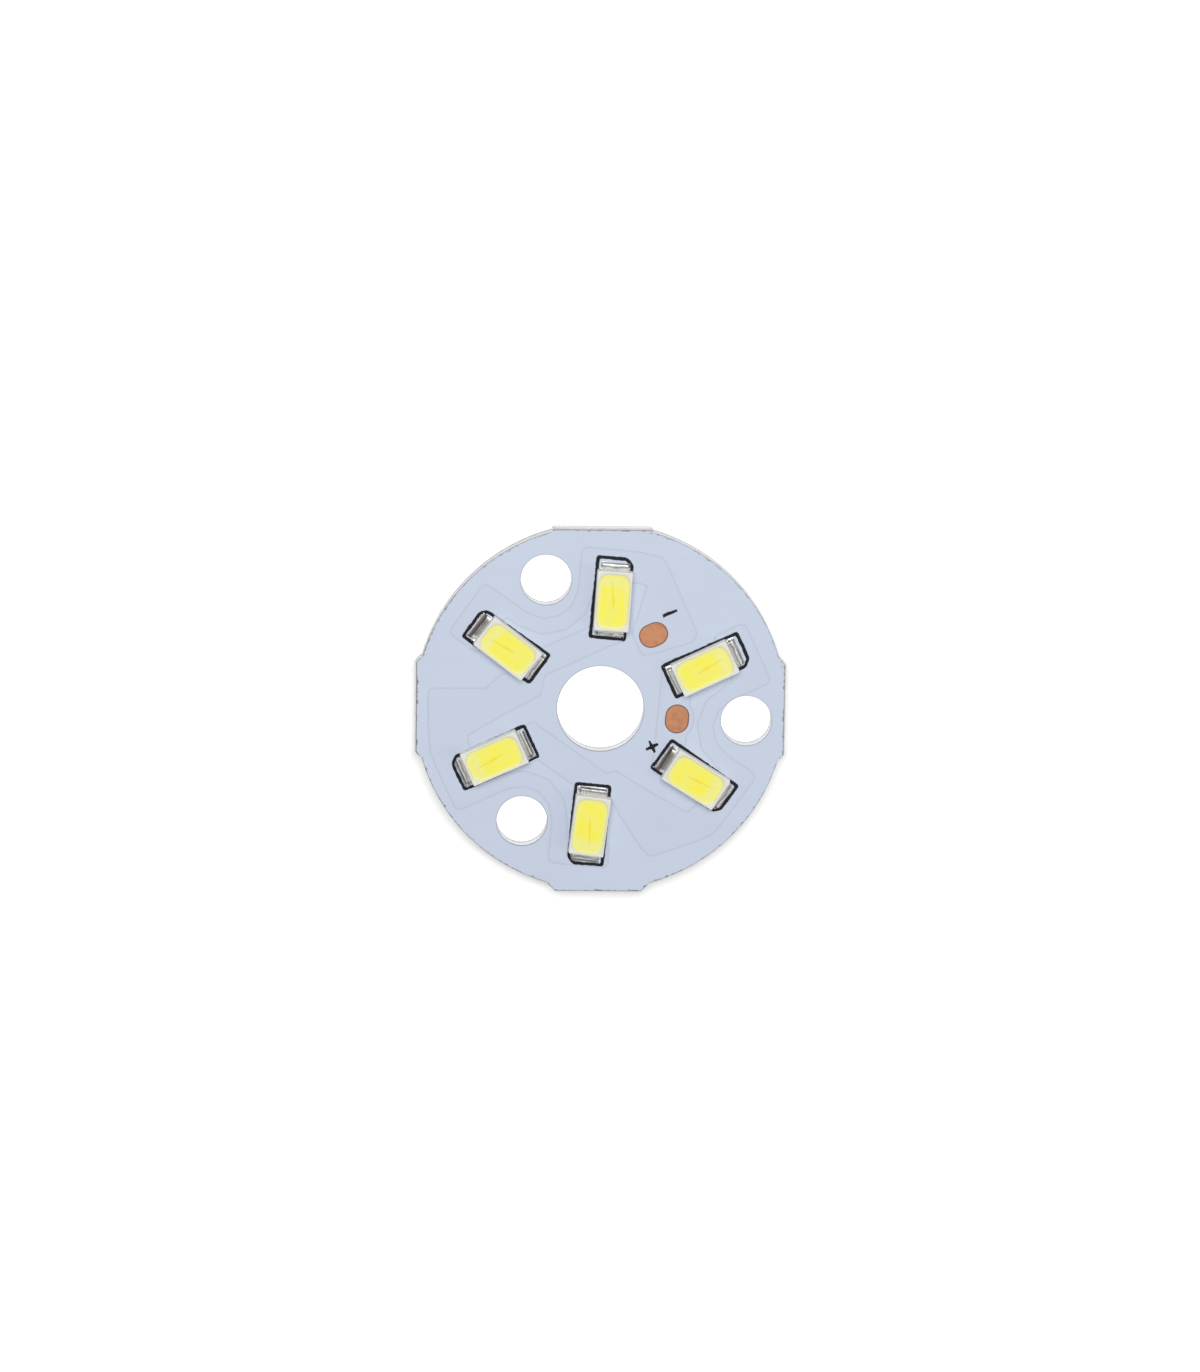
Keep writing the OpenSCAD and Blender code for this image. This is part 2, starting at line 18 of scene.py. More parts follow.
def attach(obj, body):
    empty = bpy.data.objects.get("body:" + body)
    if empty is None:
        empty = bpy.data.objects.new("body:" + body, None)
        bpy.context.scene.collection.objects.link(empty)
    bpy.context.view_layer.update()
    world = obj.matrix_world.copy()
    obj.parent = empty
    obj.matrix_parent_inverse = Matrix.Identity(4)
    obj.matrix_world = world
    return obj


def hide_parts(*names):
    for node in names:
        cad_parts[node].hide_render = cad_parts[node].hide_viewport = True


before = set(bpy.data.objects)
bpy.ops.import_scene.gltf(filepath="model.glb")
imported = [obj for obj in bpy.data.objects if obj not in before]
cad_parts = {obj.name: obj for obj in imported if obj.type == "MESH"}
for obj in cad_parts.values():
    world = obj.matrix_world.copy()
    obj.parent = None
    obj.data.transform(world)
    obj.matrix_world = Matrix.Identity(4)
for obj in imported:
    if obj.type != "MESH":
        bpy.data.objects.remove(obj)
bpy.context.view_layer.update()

LOG = logging.getLogger("led_board")
MM = 0.001
ROOT = "root"
LAMP_PLACE = "lamp_place"
LAMPS = range(1, 7)
SHARP_TURN = 32.0
MIX_FIRST, MIX_SECOND, MIX_COLOUR = 6, 7, 2

Colour = tuple[float, float, float]
Spot = tuple[float, float, float]
Pair = tuple[float, float]
Ring = list[Vector]
Material = bpy.types.Material
BMesh = bmesh.types.BMesh


class End(Enum):
    """The two ends of an LED, as the way along its own X axis."""

    CATHODE = 1
    ANODE = -1


class Fill(Enum):
    """How high the solder stands on the top of a tab, in millimetres."""

    PLAIN = 0.012
    FLOODED = 0.06


class Reach(Enum):
    """How far a pad reaches from the middle of its footprint, in millimetres."""

    SHORT = 2.92
    FULL = 3.1


class Sign(Enum):
    """The polarity signs: where each stands, in millimetres, and its turn in degrees."""

    MINUS = (5.5, 7.9, 23.0)
    PLUS = (4.22, -3.1, 27.0)


FLOODED_ENDS = ((6, End.CATHODE), (3, End.ANODE))
SHORT_PADS = ((1, End.CATHODE), (2, End.CATHODE), (3, End.CATHODE))


class Socket:
    """One output of a node, with arithmetic that adds Math nodes."""

    def __init__(self, graph: "Graph", socket: bpy.types.NodeSocket) -> None:
        """Keeps the graph and the output that this stands for."""
        self.graph = graph
        self.socket = socket

    def _math(self, operation: str, *values: "Socket | float") -> "Socket":
        """The output of a new Math node, with its inputs in order."""
        return self.graph.node("ShaderNodeMath", {"operation": operation}, dict(enumerate(values)))

    def __add__(self, other: "Socket | float") -> "Socket":
        """This plus other."""
        return self._math("ADD", self, other)

    def __radd__(self, other: float) -> "Socket":
        """Other plus this."""
        return self._math("ADD", other, self)

    def __sub__(self, other: "Socket | float") -> "Socket":
        """This less other."""
        return self._math("SUBTRACT", self, other)

    def __rsub__(self, other: float) -> "Socket":
        """Other less this."""
        return self._math("SUBTRACT", other, self)

    def __mul__(self, other: "Socket | float") -> "Socket":
        """This times other."""
        return self._math("MULTIPLY", self, other)

    def __rmul__(self, other: float) -> "Socket":
        """Other times this."""
        return self._math("MULTIPLY", other, self)

    def __truediv__(self, other: "Socket | float") -> "Socket":
        """This divided by other."""
        return self._math("DIVIDE", self, other)

    def __abs__(self) -> "Socket":
        """This without its sign."""
        return self._math("ABSOLUTE", self)

    def smaller(self, other: "Socket | float") -> "Socket":
        """The smaller of this and other."""
        return self._math("MINIMUM", self, other)

    def larger(self, other: "Socket | float") -> "Socket":
        """The larger of this and other."""
        return self._math("MAXIMUM", self, other)

    def angle_to(self, other: "Socket") -> "Socket":
        """The angle whose sine is this and whose cosine is other, in radians."""
        return self._math("ARCTAN2", self, other)

    def ramp(self, low: float, high: float) -> "Socket":
        """Runs smoothly between two levels.

        Args:
            low: The level at which the result is 0.
            high: The level at which the result is 1. It may be below low.

        Returns:
            A value from 0 to 1.
        """
        flip = low > high
        return self.graph.node(
            "ShaderNodeMapRange",
            {"interpolation_type": "SMOOTHSTEP"},
            {
                "Value": self,
                "From Min": min(low, high),
                "From Max": max(low, high),
                "To Min": 1.0 if flip else 0.0,
                "To Max": 0.0 if flip else 1.0,
            },
        )


def rgba(colour: Colour | Socket) -> tuple[float, ...] | Socket:
    """A colour with its alpha, or a Socket as it is."""
    return (*colour, 1.0) if isinstance(colour, tuple) else colour


class Graph:
    """The nodes of one material, or of the sky."""

    def __init__(self, owner: Material | bpy.types.World) -> None:
        """Clears the owner's nodes but for its output.

        Args:
            owner: The material or the world.
        """
        owner.use_nodes = True
        self.owner = owner
        self.tree = owner.node_tree
        self.tree.nodes.clear()
        kind = "World" if isinstance(owner, bpy.types.World) else "Material"
        self.output = self.tree.nodes.new(f"ShaderNodeOutput{kind}")

    def node(
        self,
        kind: str,
        settings: Mapping[str, object],
        sockets: Mapping[str | int, object],
        output: str | int = 0,
    ) -> Socket:
        """Adds one node.

        Args:
            kind: Blender's name of the node's type.
            settings: The node's own properties, which are set first.
            sockets: A value or a Socket for each input, by its name or number.
            output: Name or number of the output that is wanted.

        Returns:
            That output.
        """
        made = self.tree.nodes.new(kind)
        for key, value in settings.items():
            setattr(made, key, value)
        for key, value in sockets.items():
            if isinstance(value, Socket):
                self.tree.links.new(value.socket, made.inputs[key])
            else:
                made.inputs[key].default_value = value
        return Socket(self, made.outputs[output])

    def place(self) -> Socket:
        """The place on the board, in millimetres."""
        metres = self.node("ShaderNodeTexCoord", {}, {}, "Object")
        return self.node("ShaderNodeVectorMath", {"operation": "SCALE"}, {0: metres, "Scale": 1 / MM})

    def lamp_place(self) -> Socket:
        """The place in an LED's own frame, in millimetres."""
        return self.node("ShaderNodeAttribute", {"attribute_name": LAMP_PLACE}, {}, "Vector")

    def facing(self) -> Socket:
        """The direction that the surface faces."""
        return self.node("ShaderNodeNewGeometry", {}, {}, "Normal")

    def parts(self, vector: Socket) -> tuple[Socket, ...]:
        """The X, the Y and the Z of a vector."""
        split = self.node("ShaderNodeSeparateXYZ", {}, {0: vector}).socket.node
        return tuple(Socket(self, part) for part in split.outputs)

    def stretch(self, vector: Socket, factors: Spot) -> Socket:
        """A vector with each part scaled by its own factor."""
        return self.node("ShaderNodeVectorMath", {"operation": "MULTIPLY"}, {0: vector, 1: factors})

    def vector(self, x: Socket | float, y: Socket | float, z: Socket | float) -> Socket:
        """A vector from its three parts."""
        return self.node("ShaderNodeCombineXYZ", {}, {"X": x, "Y": y, "Z": z})

    def grain(self, at: Socket, scale: float, detail: float = 2.0, rough: float = 0.5) -> Socket:
        """Cloudy noise about 0.5.

        Args:
            at: Where it is read.
            scale: Clouds in one unit of at.
            detail: How many finer layers are added.
            rough: How strong those are.

        Returns:
            A value from 0 to 1.
        """
        return self.node(
            "ShaderNodeTexNoise",
            {"noise_dimensions": "3D"},
            {"Vector": at, "Scale": scale, "Detail": detail, "Roughness": rough},
            "Fac",
        )

    def cells(self, at: Socket, scale: float) -> Socket:
        """Distance to the nearest of many scattered points, in cells."""
        sockets = {"Vector": at, "Scale": scale}
        return self.node("ShaderNodeTexVoronoi", {"feature": "F1"}, sockets, "Distance")

    def length(self, x: Socket, y: Socket) -> Socket:
        """How long the step of x across and y up is."""
        flat = self.vector(x, y, 0.0)
        return self.node("ShaderNodeVectorMath", {"operation": "LENGTH"}, {0: flat}, "Value")

    def inside(self, x: Socket, y: Socket, half: Pair, radius: float) -> Socket:
        """How far a place lies inside a rectangle with round corners.

        Args:
            x: The place along the rectangle's length, from its middle.
            y: The place along its width.
            half: Half its length and half its width.
            radius: Radius of its corners.

        Returns:
            The distance to its edge, below 0 outside it.
        """
        out_x = (abs(x) - (half[0] - radius)).larger(0.0)
        out_y = (abs(y) - (half[1] - radius)).larger(0.0)
        return radius - self.length(out_x, out_y)

    def blend(
        self,
        share: Socket | float,
        first: Colour | Socket,
        second: Colour | Socket,
        way: str = "MIX",
    ) -> Socket:
        """A colour between two others.

        Args:
            share: 0 for the first, 1 for the second.
            first: The first colour.
            second: The second colour.
            way: Blender's name of how the second goes over the first.

        Returns:
            The mixed colour.
        """
        sockets = {0: share, MIX_FIRST: rgba(first), MIX_SECOND: rgba(second)}
        return self.node("ShaderNodeMix", {"data_type": "RGBA", "blend_type": way}, sockets, MIX_COLOUR)

    def shade(self, colour: Colour | Socket, level: Socket) -> Socket:
        """A colour made lighter or darker by a level about 1."""
        return self.blend(1.0, colour, self.vector(level, level, level), "MULTIPLY")

    def bump(self, height: Socket, depth: float) -> Socket:
        """A normal from a height, of which 1 stands for a depth in millimetres."""
        return self.node("ShaderNodeBump", {}, {"Strength": 1.0, "Distance": depth * MM, "Height": height})

    def surface(self, **sockets: object) -> Material:
        """Ends the graph in a Principled shader.

        Args:
            **sockets: Its inputs, with an underscore for each space.

        Returns:
            The finished material.
        """
        named = {key.replace("_", " "): value for key, value in sockets.items()}
        self.end(self.node("ShaderNodeBsdfPrincipled", {}, named))
        return self.owner

    def end(self, shader: Socket) -> None:
        """Ends the graph in a shader."""
        self.tree.links.new(shader.socket, self.output.inputs["Surface"])


@dataclass(frozen=True)
class RolledAluminium:
    """The bare plate: rolled on its back, punched and scored round its edge."""

    colour: Colour = (0.84, 0.85, 0.86)
    # Colour of the painted shade at the foot of the wall.
    dull: Colour = (0.58, 0.59, 0.60)
    score: Colour = (0.93, 0.90, 0.86)
    plate_t: float = 1.6
    edge_r: float = 15.0
    rim_r: Pair = (13.8, 14.4)

    def material(self) -> Material:
        """Makes the material."""
        g = Graph(bpy.data.materials.new("rolled_aluminium"))
        at = g.place()
        x, y, height = g.parts(at)
        side_x, side_y, up = g.parts(g.facing())
        wall = abs(up).ramp(0.9, 0.3)
        rim = g.length(x, y).ramp(*self.rim_r)
        punched = rim * abs(side_x).larger(abs(side_y)).ramp(0.995, 0.97)
        scored = up.ramp(0.1, 0.2) * wall
        rolled = g.grain(g.stretch(at, (0.25, 9.0, 1.0)), 1.0, 3.0, 0.6)
        clouds = g.grain(at, 0.22, 3.0)
        scratch = g.grain(g.stretch(at, (4.0, 0.35, 1.0)), 2.2, 1.0).ramp(0.66, 0.72)
        round_at = y.angle_to(x) * self.edge_r
        torn = g.grain(g.vector(round_at * 5.0, height * 0.7, 0.0), 1.0, 3.0, 0.65)
        ragged = g.grain(g.vector(round_at, 0.0, 0.0), 1.6, 2.0)
        # The lower part of the wall gets painted shade where it meets the floor, and is rougher there.
        shaded_foot = (height / self.plate_t + ragged * 0.5).ramp(0.72, 0.62)
        face_level = 0.86 + rolled * 0.2 + clouds * 0.08 - scratch * 0.12
        wall_level = 0.72 + torn * 0.3 - shaded_foot * 0.06 - scored * (ragged - 0.4) * 0.4 - punched * 0.16
        level = face_level + (wall_level - face_level) * wall
        rough_face = 0.3 + rolled * 0.12 + clouds * 0.08
        rough_wall = 0.34 + shaded_foot * 0.16
        relief = rolled * 0.5 - scratch * 0.4 + (torn * 1.6 - rolled * 0.5) * wall
        tint = g.blend(scored * 0.85, g.blend(wall * shaded_foot * 0.35, self.colour, self.dull), self.score)
        return g.surface(
            Base_Color=g.shade(tint, level),
            Metallic=1.0,
            Roughness=rough_face + (rough_wall - rough_face) * wall,
            Normal=g.bump(relief, 0.012),
        )


@dataclass(frozen=True)
class FilledResin:
    """The insulating layer, of which only the cut edge shows."""

    colour: Colour = (0.50, 0.52, 0.53)
    fleck: Colour = (0.72, 0.73, 0.72)

    def material(self) -> Material:
        """Makes the material."""
        g = Graph(bpy.data.materials.new("filled_resin"))
        at = g.place()
        fleck = g.cells(at, 16.0).ramp(0.32, 0.18)
        cloud = g.grain(at, 3.0, 3.0)
        return g.surface(
            Base_Color=g.shade(g.blend(fleck * 0.5, self.colour, self.fleck), 0.85 + cloud * 0.3),
            Roughness=0.5 + cloud * 0.2,
            Normal=g.bump(g.grain(at, 12.0, 2.0), 0.01),
        )


@dataclass(frozen=True)
class BareCopper:
    """Copper foil that has browned a little in the air, with a dark line of painted shade along the edge of
    the lacquer.
    """

    colour: Colour = (0.56, 0.257, 0.135)
    brown: Colour = (0.40, 0.176, 0.095)
    # Colour of the painted shade along the edge of the lacquer.
    rim: Colour = (0.15, 0.095, 0.080)
    minus_pad: Spot = (4.187, 6.091, 115.0)
    plus_pad: Spot = (6.201, -0.793, 355.0)
    pad_half: Pair = (0.975, 1.2)
    lacquer_edge_shade_w: Pair = (0.2, 0.08)

    def _inside(self, g: Graph, at: Socket, pad: Spot) -> Socket:
        """How far a place lies inside a wire pad.

        Args:
            g: The material's nodes.
            at: The place.
            pad: The pad's middle and the way it is turned, in degrees.

        Returns:
            The distance to the pad's edge.
        """
        pad_x, pad_y, turn = pad
        way = math.radians(turn)
        x, y, _ = g.parts(at)
        off_x, off_y = x - pad_x, y - pad_y
        across = off_x * math.cos(way) + off_y * math.sin(way)
        along = off_y * math.cos(way) - off_x * math.sin(way)
        return g.inside(across, along, self.pad_half, self.pad_half[0])

    def material(self) -> Material:
        """Makes the material."""
        g = Graph(bpy.data.materials.new("bare_copper"))
        at = g.place()
        clouds = g.grain(at, 1.4, 4.0, 0.6)
        brushed = g.grain(g.stretch(at, (1.2, 14.0, 1.0)), 1.0, 2.0)
        spots = g.cells(at, 3.2).ramp(0.2, 0.08)
        tarnish = (clouds.ramp(0.4, 0.68) * 0.8 + spots * 0.4).smaller(1.0)
        # A dark line of painted shade runs round each pad along the edge of the lacquer.
        edge = self._inside(g, at, self.minus_pad).larger(self._inside(g, at, self.plus_pad))
        rim = (edge + clouds * 0.1).ramp(*self.lacquer_edge_shade_w)
        tint = g.blend(rim * 0.9, g.blend(tarnish, self.colour, self.brown), self.rim)
        return g.surface(
            Base_Color=g.shade(tint, 0.92 + brushed * 0.16),
            Metallic=0.85,
            Roughness=0.38 + tarnish * 0.2 + brushed * 0.08,
            Normal=g.bump(brushed * 0.6 + clouds * 0.4, 0.006),
        )


@dataclass(frozen=True)
class WhiteLacquer:
    """The white lacquer: a faint warm line of painted shade where it climbs over the copper, and a dark cut
    edge.
    """

    bare: Colour = (0.565, 0.634, 0.765)
    over_copper: Colour = (0.561, 0.624, 0.752)
    # Colour of the painted shade on the step over the copper's edge.
    step: Colour = (0.478, 0.502, 0.610)
    cut: Colour = (0.20, 0.185, 0.175)
    chipped: Colour = (0.34, 0.335, 0.34)
    low_z: float = 1.645
    high_z: float = 1.665
    edge_r: float = 15.0
    flat_y: float = 14.86
    flat_half: float = 4.05
    slant: float = 18.6
    art_y: float = -0.25
    fray: float = 0.15
    cut_w: Pair = (0.075, 0.0)
    bore_cut_w: Pair = (0.09, 0.01)
    holes: tuple[Spot, ...] = (
        (0.0, 0.0, 3.5), (-4.510, 10.522, 2.05), (-6.246, -9.320, 2.05), (11.806, -0.902, 2.05)
    )

    def material(self) -> Material:
        """Makes the material."""
        g = Graph(bpy.data.materials.new("white_lacquer"))
        at = g.place()
        x, y, z = g.parts(at)
        middle, half = (self.low_z + self.high_z) / 2, (self.high_z - self.low_z) / 2
        slope = (z - middle) / half
        raised = slope.ramp(-0.6, 0.6)
        # Painted shade on the step where the lacquer climbs over the copper's edge.
        step_shade = abs(slope).ramp(0.95, 0.55)
        clouds = g.grain(at, 0.18, 4.0, 0.55)
        streaks = g.grain(g.stretch(at, (0.12, 1.6, 1.0)), 1.0, 2.0)
        fine = g.grain(at, 4.5, 3.0, 0.6)
        dust = g.cells(at, 0.75).ramp(0.055, 0.03)
        off_x, off_y = abs(x), abs(y - self.art_y)
        inwards = self.flat_y - off_x.larger(off_y)
        along = off_x.smaller(off_y)
        corner = along.ramp(self.flat_half - 0.75, self.flat_half - 0.1)
        nick = g.grain(at, 2.6, 3.0, 0.7)
        deep = 0.02 + nick.ramp(0.45, 0.72) * (0.14 + corner * 0.26)
        chip = (deep - inwards).ramp(-0.02, 0.03)
        round_edge = self.edge_r - g.length(x, y)
        tab_edge = (self.slant - off_x - abs(y)) * math.sqrt(0.5)
        to_rim = round_edge.larger(tab_edge).smaller(inwards)
        to_bore = to_rim
        for hole_x, hole_y, hole_r in self.holes:
            to_bore = to_bore.smaller(g.length(x - hole_x, y - hole_y) - hole_r)
        frayed = nick.ramp(0.45, 0.75) * self.fray
        cut = (to_rim - frayed).ramp(*self.cut_w).larger(to_bore.ramp(*self.bore_cut_w) * 0.75)
        lit_side = (x + y).ramp(-4.0, 12.0)
        tint = g.blend(raised, self.bare, self.over_copper)
        tint = g.blend(step_shade * 0.5, tint, self.step)
        tint = g.shade(tint, 0.94 + clouds * 0.05 + streaks * 0.025 + fine * 0.02 - dust * 0.16)
        tint = g.blend(chip * 0.85, tint, g.shade(self.chipped, 0.4 + nick))
        return g.surface(
            Base_Color=g.blend(cut * (0.9 - lit_side * 0.3), tint, self.cut),
            Roughness=0.40 + clouds * 0.10 + chip * 0.15,
            IOR=1.5,
            Normal=g.bump(g.grain(at, 2.2, 2.0) * 0.7 + fine * 0.2 - chip * 1.2, 0.012),
        )


@dataclass(frozen=True)
class PrintInk:
    """Black screen print with a few pinholes."""

    colour: Colour = (0.014, 0.014, 0.017)
    thin: Colour = (0.045, 0.046, 0.053)

    def material(self) -> Material:
        """Makes the material."""
        g = Graph(bpy.data.materials.new("print_ink"))
        at = g.place()
        weave = g.grain(at, 7.5, 2.0, 0.6)
        return g.surface(
            Base_Color=g.blend(weave.ramp(0.5, 0.78), self.colour, self.thin),
            Roughness=0.7 + weave * 0.2,
            Specular_IOR_Level=0.15,
            Normal=g.bump(weave, 0.012),
        )


@dataclass(frozen=True)
class MouldedIvory:
    """The moulded LED body, which takes a yellow glow from the silicone beside it."""

    colour: Colour = (0.77, 0.775, 0.72)
    glow: Colour = (0.76, 0.75, 0.54)
    window: Pair = (2.2, 1.25)
    window_r: float = 0.8
    glow_w: float = 0.24

    def material(self) -> Material:
        """Makes the material."""
        g = Graph(bpy.data.materials.new("moulded_ivory"))
        at = g.place()
        x, y, z = g.parts(g.lamp_place())
        near = g.inside(x, y, self.window, self.window_r).ramp(-self.glow_w, 0.0) * z.ramp(0.3, 0.9)
        cloud = g.grain(at, 1.3, 3.0)
        fine = g.grain(at, 18.0, 2.0)
        return g.surface(
            Base_Color=g.shade(g.blend(near * 0.8, self.colour, self.glow), 0.95 + cloud * 0.08),
            Roughness=0.42 + cloud * 0.12,
            Subsurface_Weight=0.25,
            Subsurface_Radius=(0.4, 0.4, 0.3),
            Subsurface_Scale=MM,
            Normal=g.bump(fine, 0.004),
        )


@dataclass(frozen=True)
class YellowSilicone:
    """Silicone loaded with yellow phosphor, through which the floor, the chip and its wires show."""

    deep: Colour = (0.915, 0.875, 0.180)
    end: Colour = (0.900, 0.870, 0.262)
    pale: Colour = (0.845, 0.835, 0.400)
    floor: Colour = (0.960, 0.880, 0.090)
    ring: Colour = (0.970, 0.880, 0.065)
    chip: Colour = (0.925, 0.760, 0.020)
    wire: Colour = (0.640, 0.430, 0.050)
    window: Pair = (2.185, 1.235)
    window_r: float = 0.8
    floor_at: float = -0.28
    floor_half: Pair = (1.34, 0.775)
    floor_r: float = 0.2
    ring_in: float = 0.06
    ring_w: Pair = (0.16, 0.02)
    end_rise: Pair = (0.7, 1.6)
    end_fall: Pair = (2.3, 1.6)
    chip_x: float = 0.1
    bond_l: Pair = (0.5, 0.1)
    bond_w: Pair = (0.19, 0.04)
    wire_w: Pair = (0.07, 0.015)
    wire_from: Pair = (-0.8, -0.45)
    wire_to: Pair = (1.75, 1.4)
    wire_slant: float = 0.11

    def material(self) -> Material:
        """Makes the material."""
        g = Graph(bpy.data.materials.new("yellow_silicone"))
        at = g.place()
        x, y, _ = g.parts(g.lamp_place())
        board_x, _, _ = g.parts(at)
        drift = g.grain(at, 0.9, 3.0)
        fine = g.grain(at, 26.0, 2.0, 0.6)
        thin = g.inside(x, y, self.window, self.window_r).ramp(0.2, -0.02)
        on_floor = g.inside(x - self.floor_at, y, self.floor_half, self.floor_r)
        at_ring = abs(on_floor - self.ring_in).ramp(*self.ring_w)
        at_end = x.ramp(*self.end_rise) * x.ramp(*self.end_fall)
        slant = y - x * self.wire_slant
        wire = abs(slant).ramp(*self.wire_w) * x.ramp(*self.wire_from) * x.ramp(*self.wire_to)
        bond = abs(slant).ramp(*self.bond_w) * abs(x - self.chip_x).ramp(*self.bond_l)
        fold = g.grain(g.vector(x * 0.7, y * 3.6, board_x * 0.3), 1.0, 2.0).ramp(0.5, 0.68)
        colour = g.blend(at_end, self.deep, self.end)
        patch = drift.ramp(0.36, 0.62)
        colour = g.blend(on_floor.ramp(-0.3, 0.2) * (0.25 + patch * 0.6), colour, self.floor)
        colour = g.blend(at_ring * (0.5 + patch * 0.5), colour, self.ring)
        colour = g.blend(fold * 0.3, colour, self.end)
        colour = g.blend(thin * 0.45, colour, self.pale)
        colour = g.blend(wire * 0.3, colour, self.wire)
        colour = g.blend(bond * 0.75, colour, self.chip)
        return g.surface(
            Base_Color=g.shade(colour, 0.975 + fine * 0.05),
            Roughness=0.2 + drift * 0.12,
            IOR=1.45,
            Normal=g.bump(drift, 0.01),
        )


@dataclass(frozen=True)
class SilverPlate:
    """The plated leads."""

    colour: Colour = (0.80, 0.79, 0.76)
    dull: Colour = (0.42, 0.41, 0.39)

    def material(self) -> Material:
        """Makes the material."""
        g = Graph(bpy.data.materials.new("silver_plate"))
        at = g.place()
        cloud = g.grain(at, 1.8, 3.0, 0.6)
        tarnish = cloud.ramp(0.42, 0.7)
        return g.surface(
            Base_Color=g.blend(tarnish * 0.7, self.colour, self.dull),
            Metallic=1.0,
            Roughness=0.2 + tarnish * 0.2,
            Normal=g.bump(cloud, 0.012),
        )


@dataclass(frozen=True)
class TinSolder:
    """Solder on the tabs, with painted reflections: light and dark bands across them, or, where it flooded
    them, a painted dark reflection with painted highlights at its corners.
    """

    fill: Fill
    # The first colour paints highlights; the third and the fifth paint shade and dark reflections.
    bright: Colour = (0.95, 0.94, 0.91)
    colour: Colour = (0.66, 0.655, 0.63)
    dark: Colour = (0.17, 0.165, 0.155)
    brown: Colour = (0.52, 0.495, 0.475)
    dark_reflection: Colour = (0.145, 0.136, 0.131)
    body_end: float = 2.5
    half_w: float = 1.05
    # Where the painted dark band, the painted highlight line and the painted shade of the skirt lie past
    # the body's end.
    dark_band_at: float = 0.23
    dark_band_w: Pair = (0.09, 0.02)
    highlight_at: float = 0.36
    highlight_w: Pair = (0.08, 0.01)
    skirt_shade_at: Pair = (0.42, 0.62)
    corner_in: Pair = (0.42, 0.12)

    def _bands(self, g: Graph, past: Socket, streak: Socket) -> Socket:
        """The colour where the tab shows through a thin layer, with painted reflections: a dark band, a
        highlight line, and painted shade on the fillet that darkens outwards.

        Args:
            g: The material's nodes.
            past: How far a place lies past the end of the body.
            streak: Noise that runs across the tab.

        Returns:
            The colour.
        """
        # Painted reflections across the tab: a dark band, a highlight line, and shade on the skirt.
        wave = past + (streak - 0.5) * 0.4
        painted_dark_band = abs(wave - self.dark_band_at).ramp(*self.dark_band_w)
        painted_highlight = abs(wave - self.highlight_at).ramp(*self.highlight_w)
        skirt_shade = wave.ramp(*self.skirt_shade_at)
        tint = g.blend(painted_dark_band * 0.6, self.colour, self.dark)
        tint = g.blend(skirt_shade * 0.45, tint, self.dark)
        return g.blend(painted_highlight * 0.85, tint, self.bright)

    def _flooded_reflection(self, g: Graph, past: Socket, y: Socket, cloud: Socket) -> Socket:
        """The colour where solder filled the tab's end: a painted dark reflection that deepens outwards,
        with painted highlights at its corners near the body.

        Args:
            g: The material's nodes.
            past: How far a place lies past the end of the body.
            y: The place across the tab.
            cloud: Even noise.

        Returns:
            The colour.
        """
        # A painted dark reflection, deeper away from the body, and painted highlights at the corners.
        drift = past + (cloud - 0.5) * 0.3
        deep = drift.ramp(0.0, 0.36) * (1.0 - drift.ramp(0.4, 0.6) * 0.3)
        corner = (abs(y) - past * 0.35).ramp(*(self.half_w - inset for inset in self.corner_in))
        lit = corner * (past + (cloud - 0.5) * 0.2).ramp(0.46, 0.24)
        return g.blend(lit, g.blend(deep, self.brown, self.dark_reflection), self.bright)

    def material(self) -> Material:
        """Makes the material."""
        g = Graph(bpy.data.materials.new(f"{self.fill.name.lower()}_solder"))
        at = g.place()
        x, y, _ = g.parts(g.lamp_place())
        board_x, board_y, _ = g.parts(at)
        past = x - self.body_end
        apart = board_x * 0.5 + board_y * 0.7
        streak = g.grain(g.vector(x * 2.4, y * 1.1, apart), 1.0, 1.5, 0.5)
        cloud = g.grain(at, 1.8, 2.0, 0.5)
        if self.fill is Fill.PLAIN:
            tint = self._bands(g, past, streak)
        else:
            tint = self._flooded_reflection(g, past, y, cloud)
        return g.surface(
            Base_Color=tint,
            Metallic=1.0,
            Roughness=0.2 + cloud * 0.2,
            Normal=g.bump(streak * 0.7 + cloud * 0.3, 0.02),
        )


@dataclass(frozen=True)
class ChipCrystal:
    """The chip, a clear blue-grey crystal on its lead."""

    colour: Colour = (0.35, 0.42, 0.50)
    finger: Colour = (0.80, 0.66, 0.30)

    def material(self) -> Material:
        """Makes the material."""
        g = Graph(bpy.data.materials.new("chip_crystal"))
        at = g.place()
        cloud = g.grain(at, 9.0, 2.0)
        return g.surface(
            Base_Color=g.blend(cloud.ramp(0.55, 0.62) * 0.6, self.colour, self.finger),
            Roughness=0.15 + cloud * 0.15,
            IOR=1.77,
        )


@dataclass(frozen=True)
class FineGold:
    """The bond wires."""

    colour: Colour = (0.83, 0.60, 0.22)

    def material(self) -> Material:
        """Makes the material."""
        g = Graph(bpy.data.materials.new("fine_gold"))
        cloud = g.grain(g.place(), 20.0, 2.0)
        return g.surface(
            Base_Color=g.shade(self.colour, 0.9 + cloud * 0.2),
            Metallic=1.0,
            Roughness=0.2 + cloud * 0.15,
        )


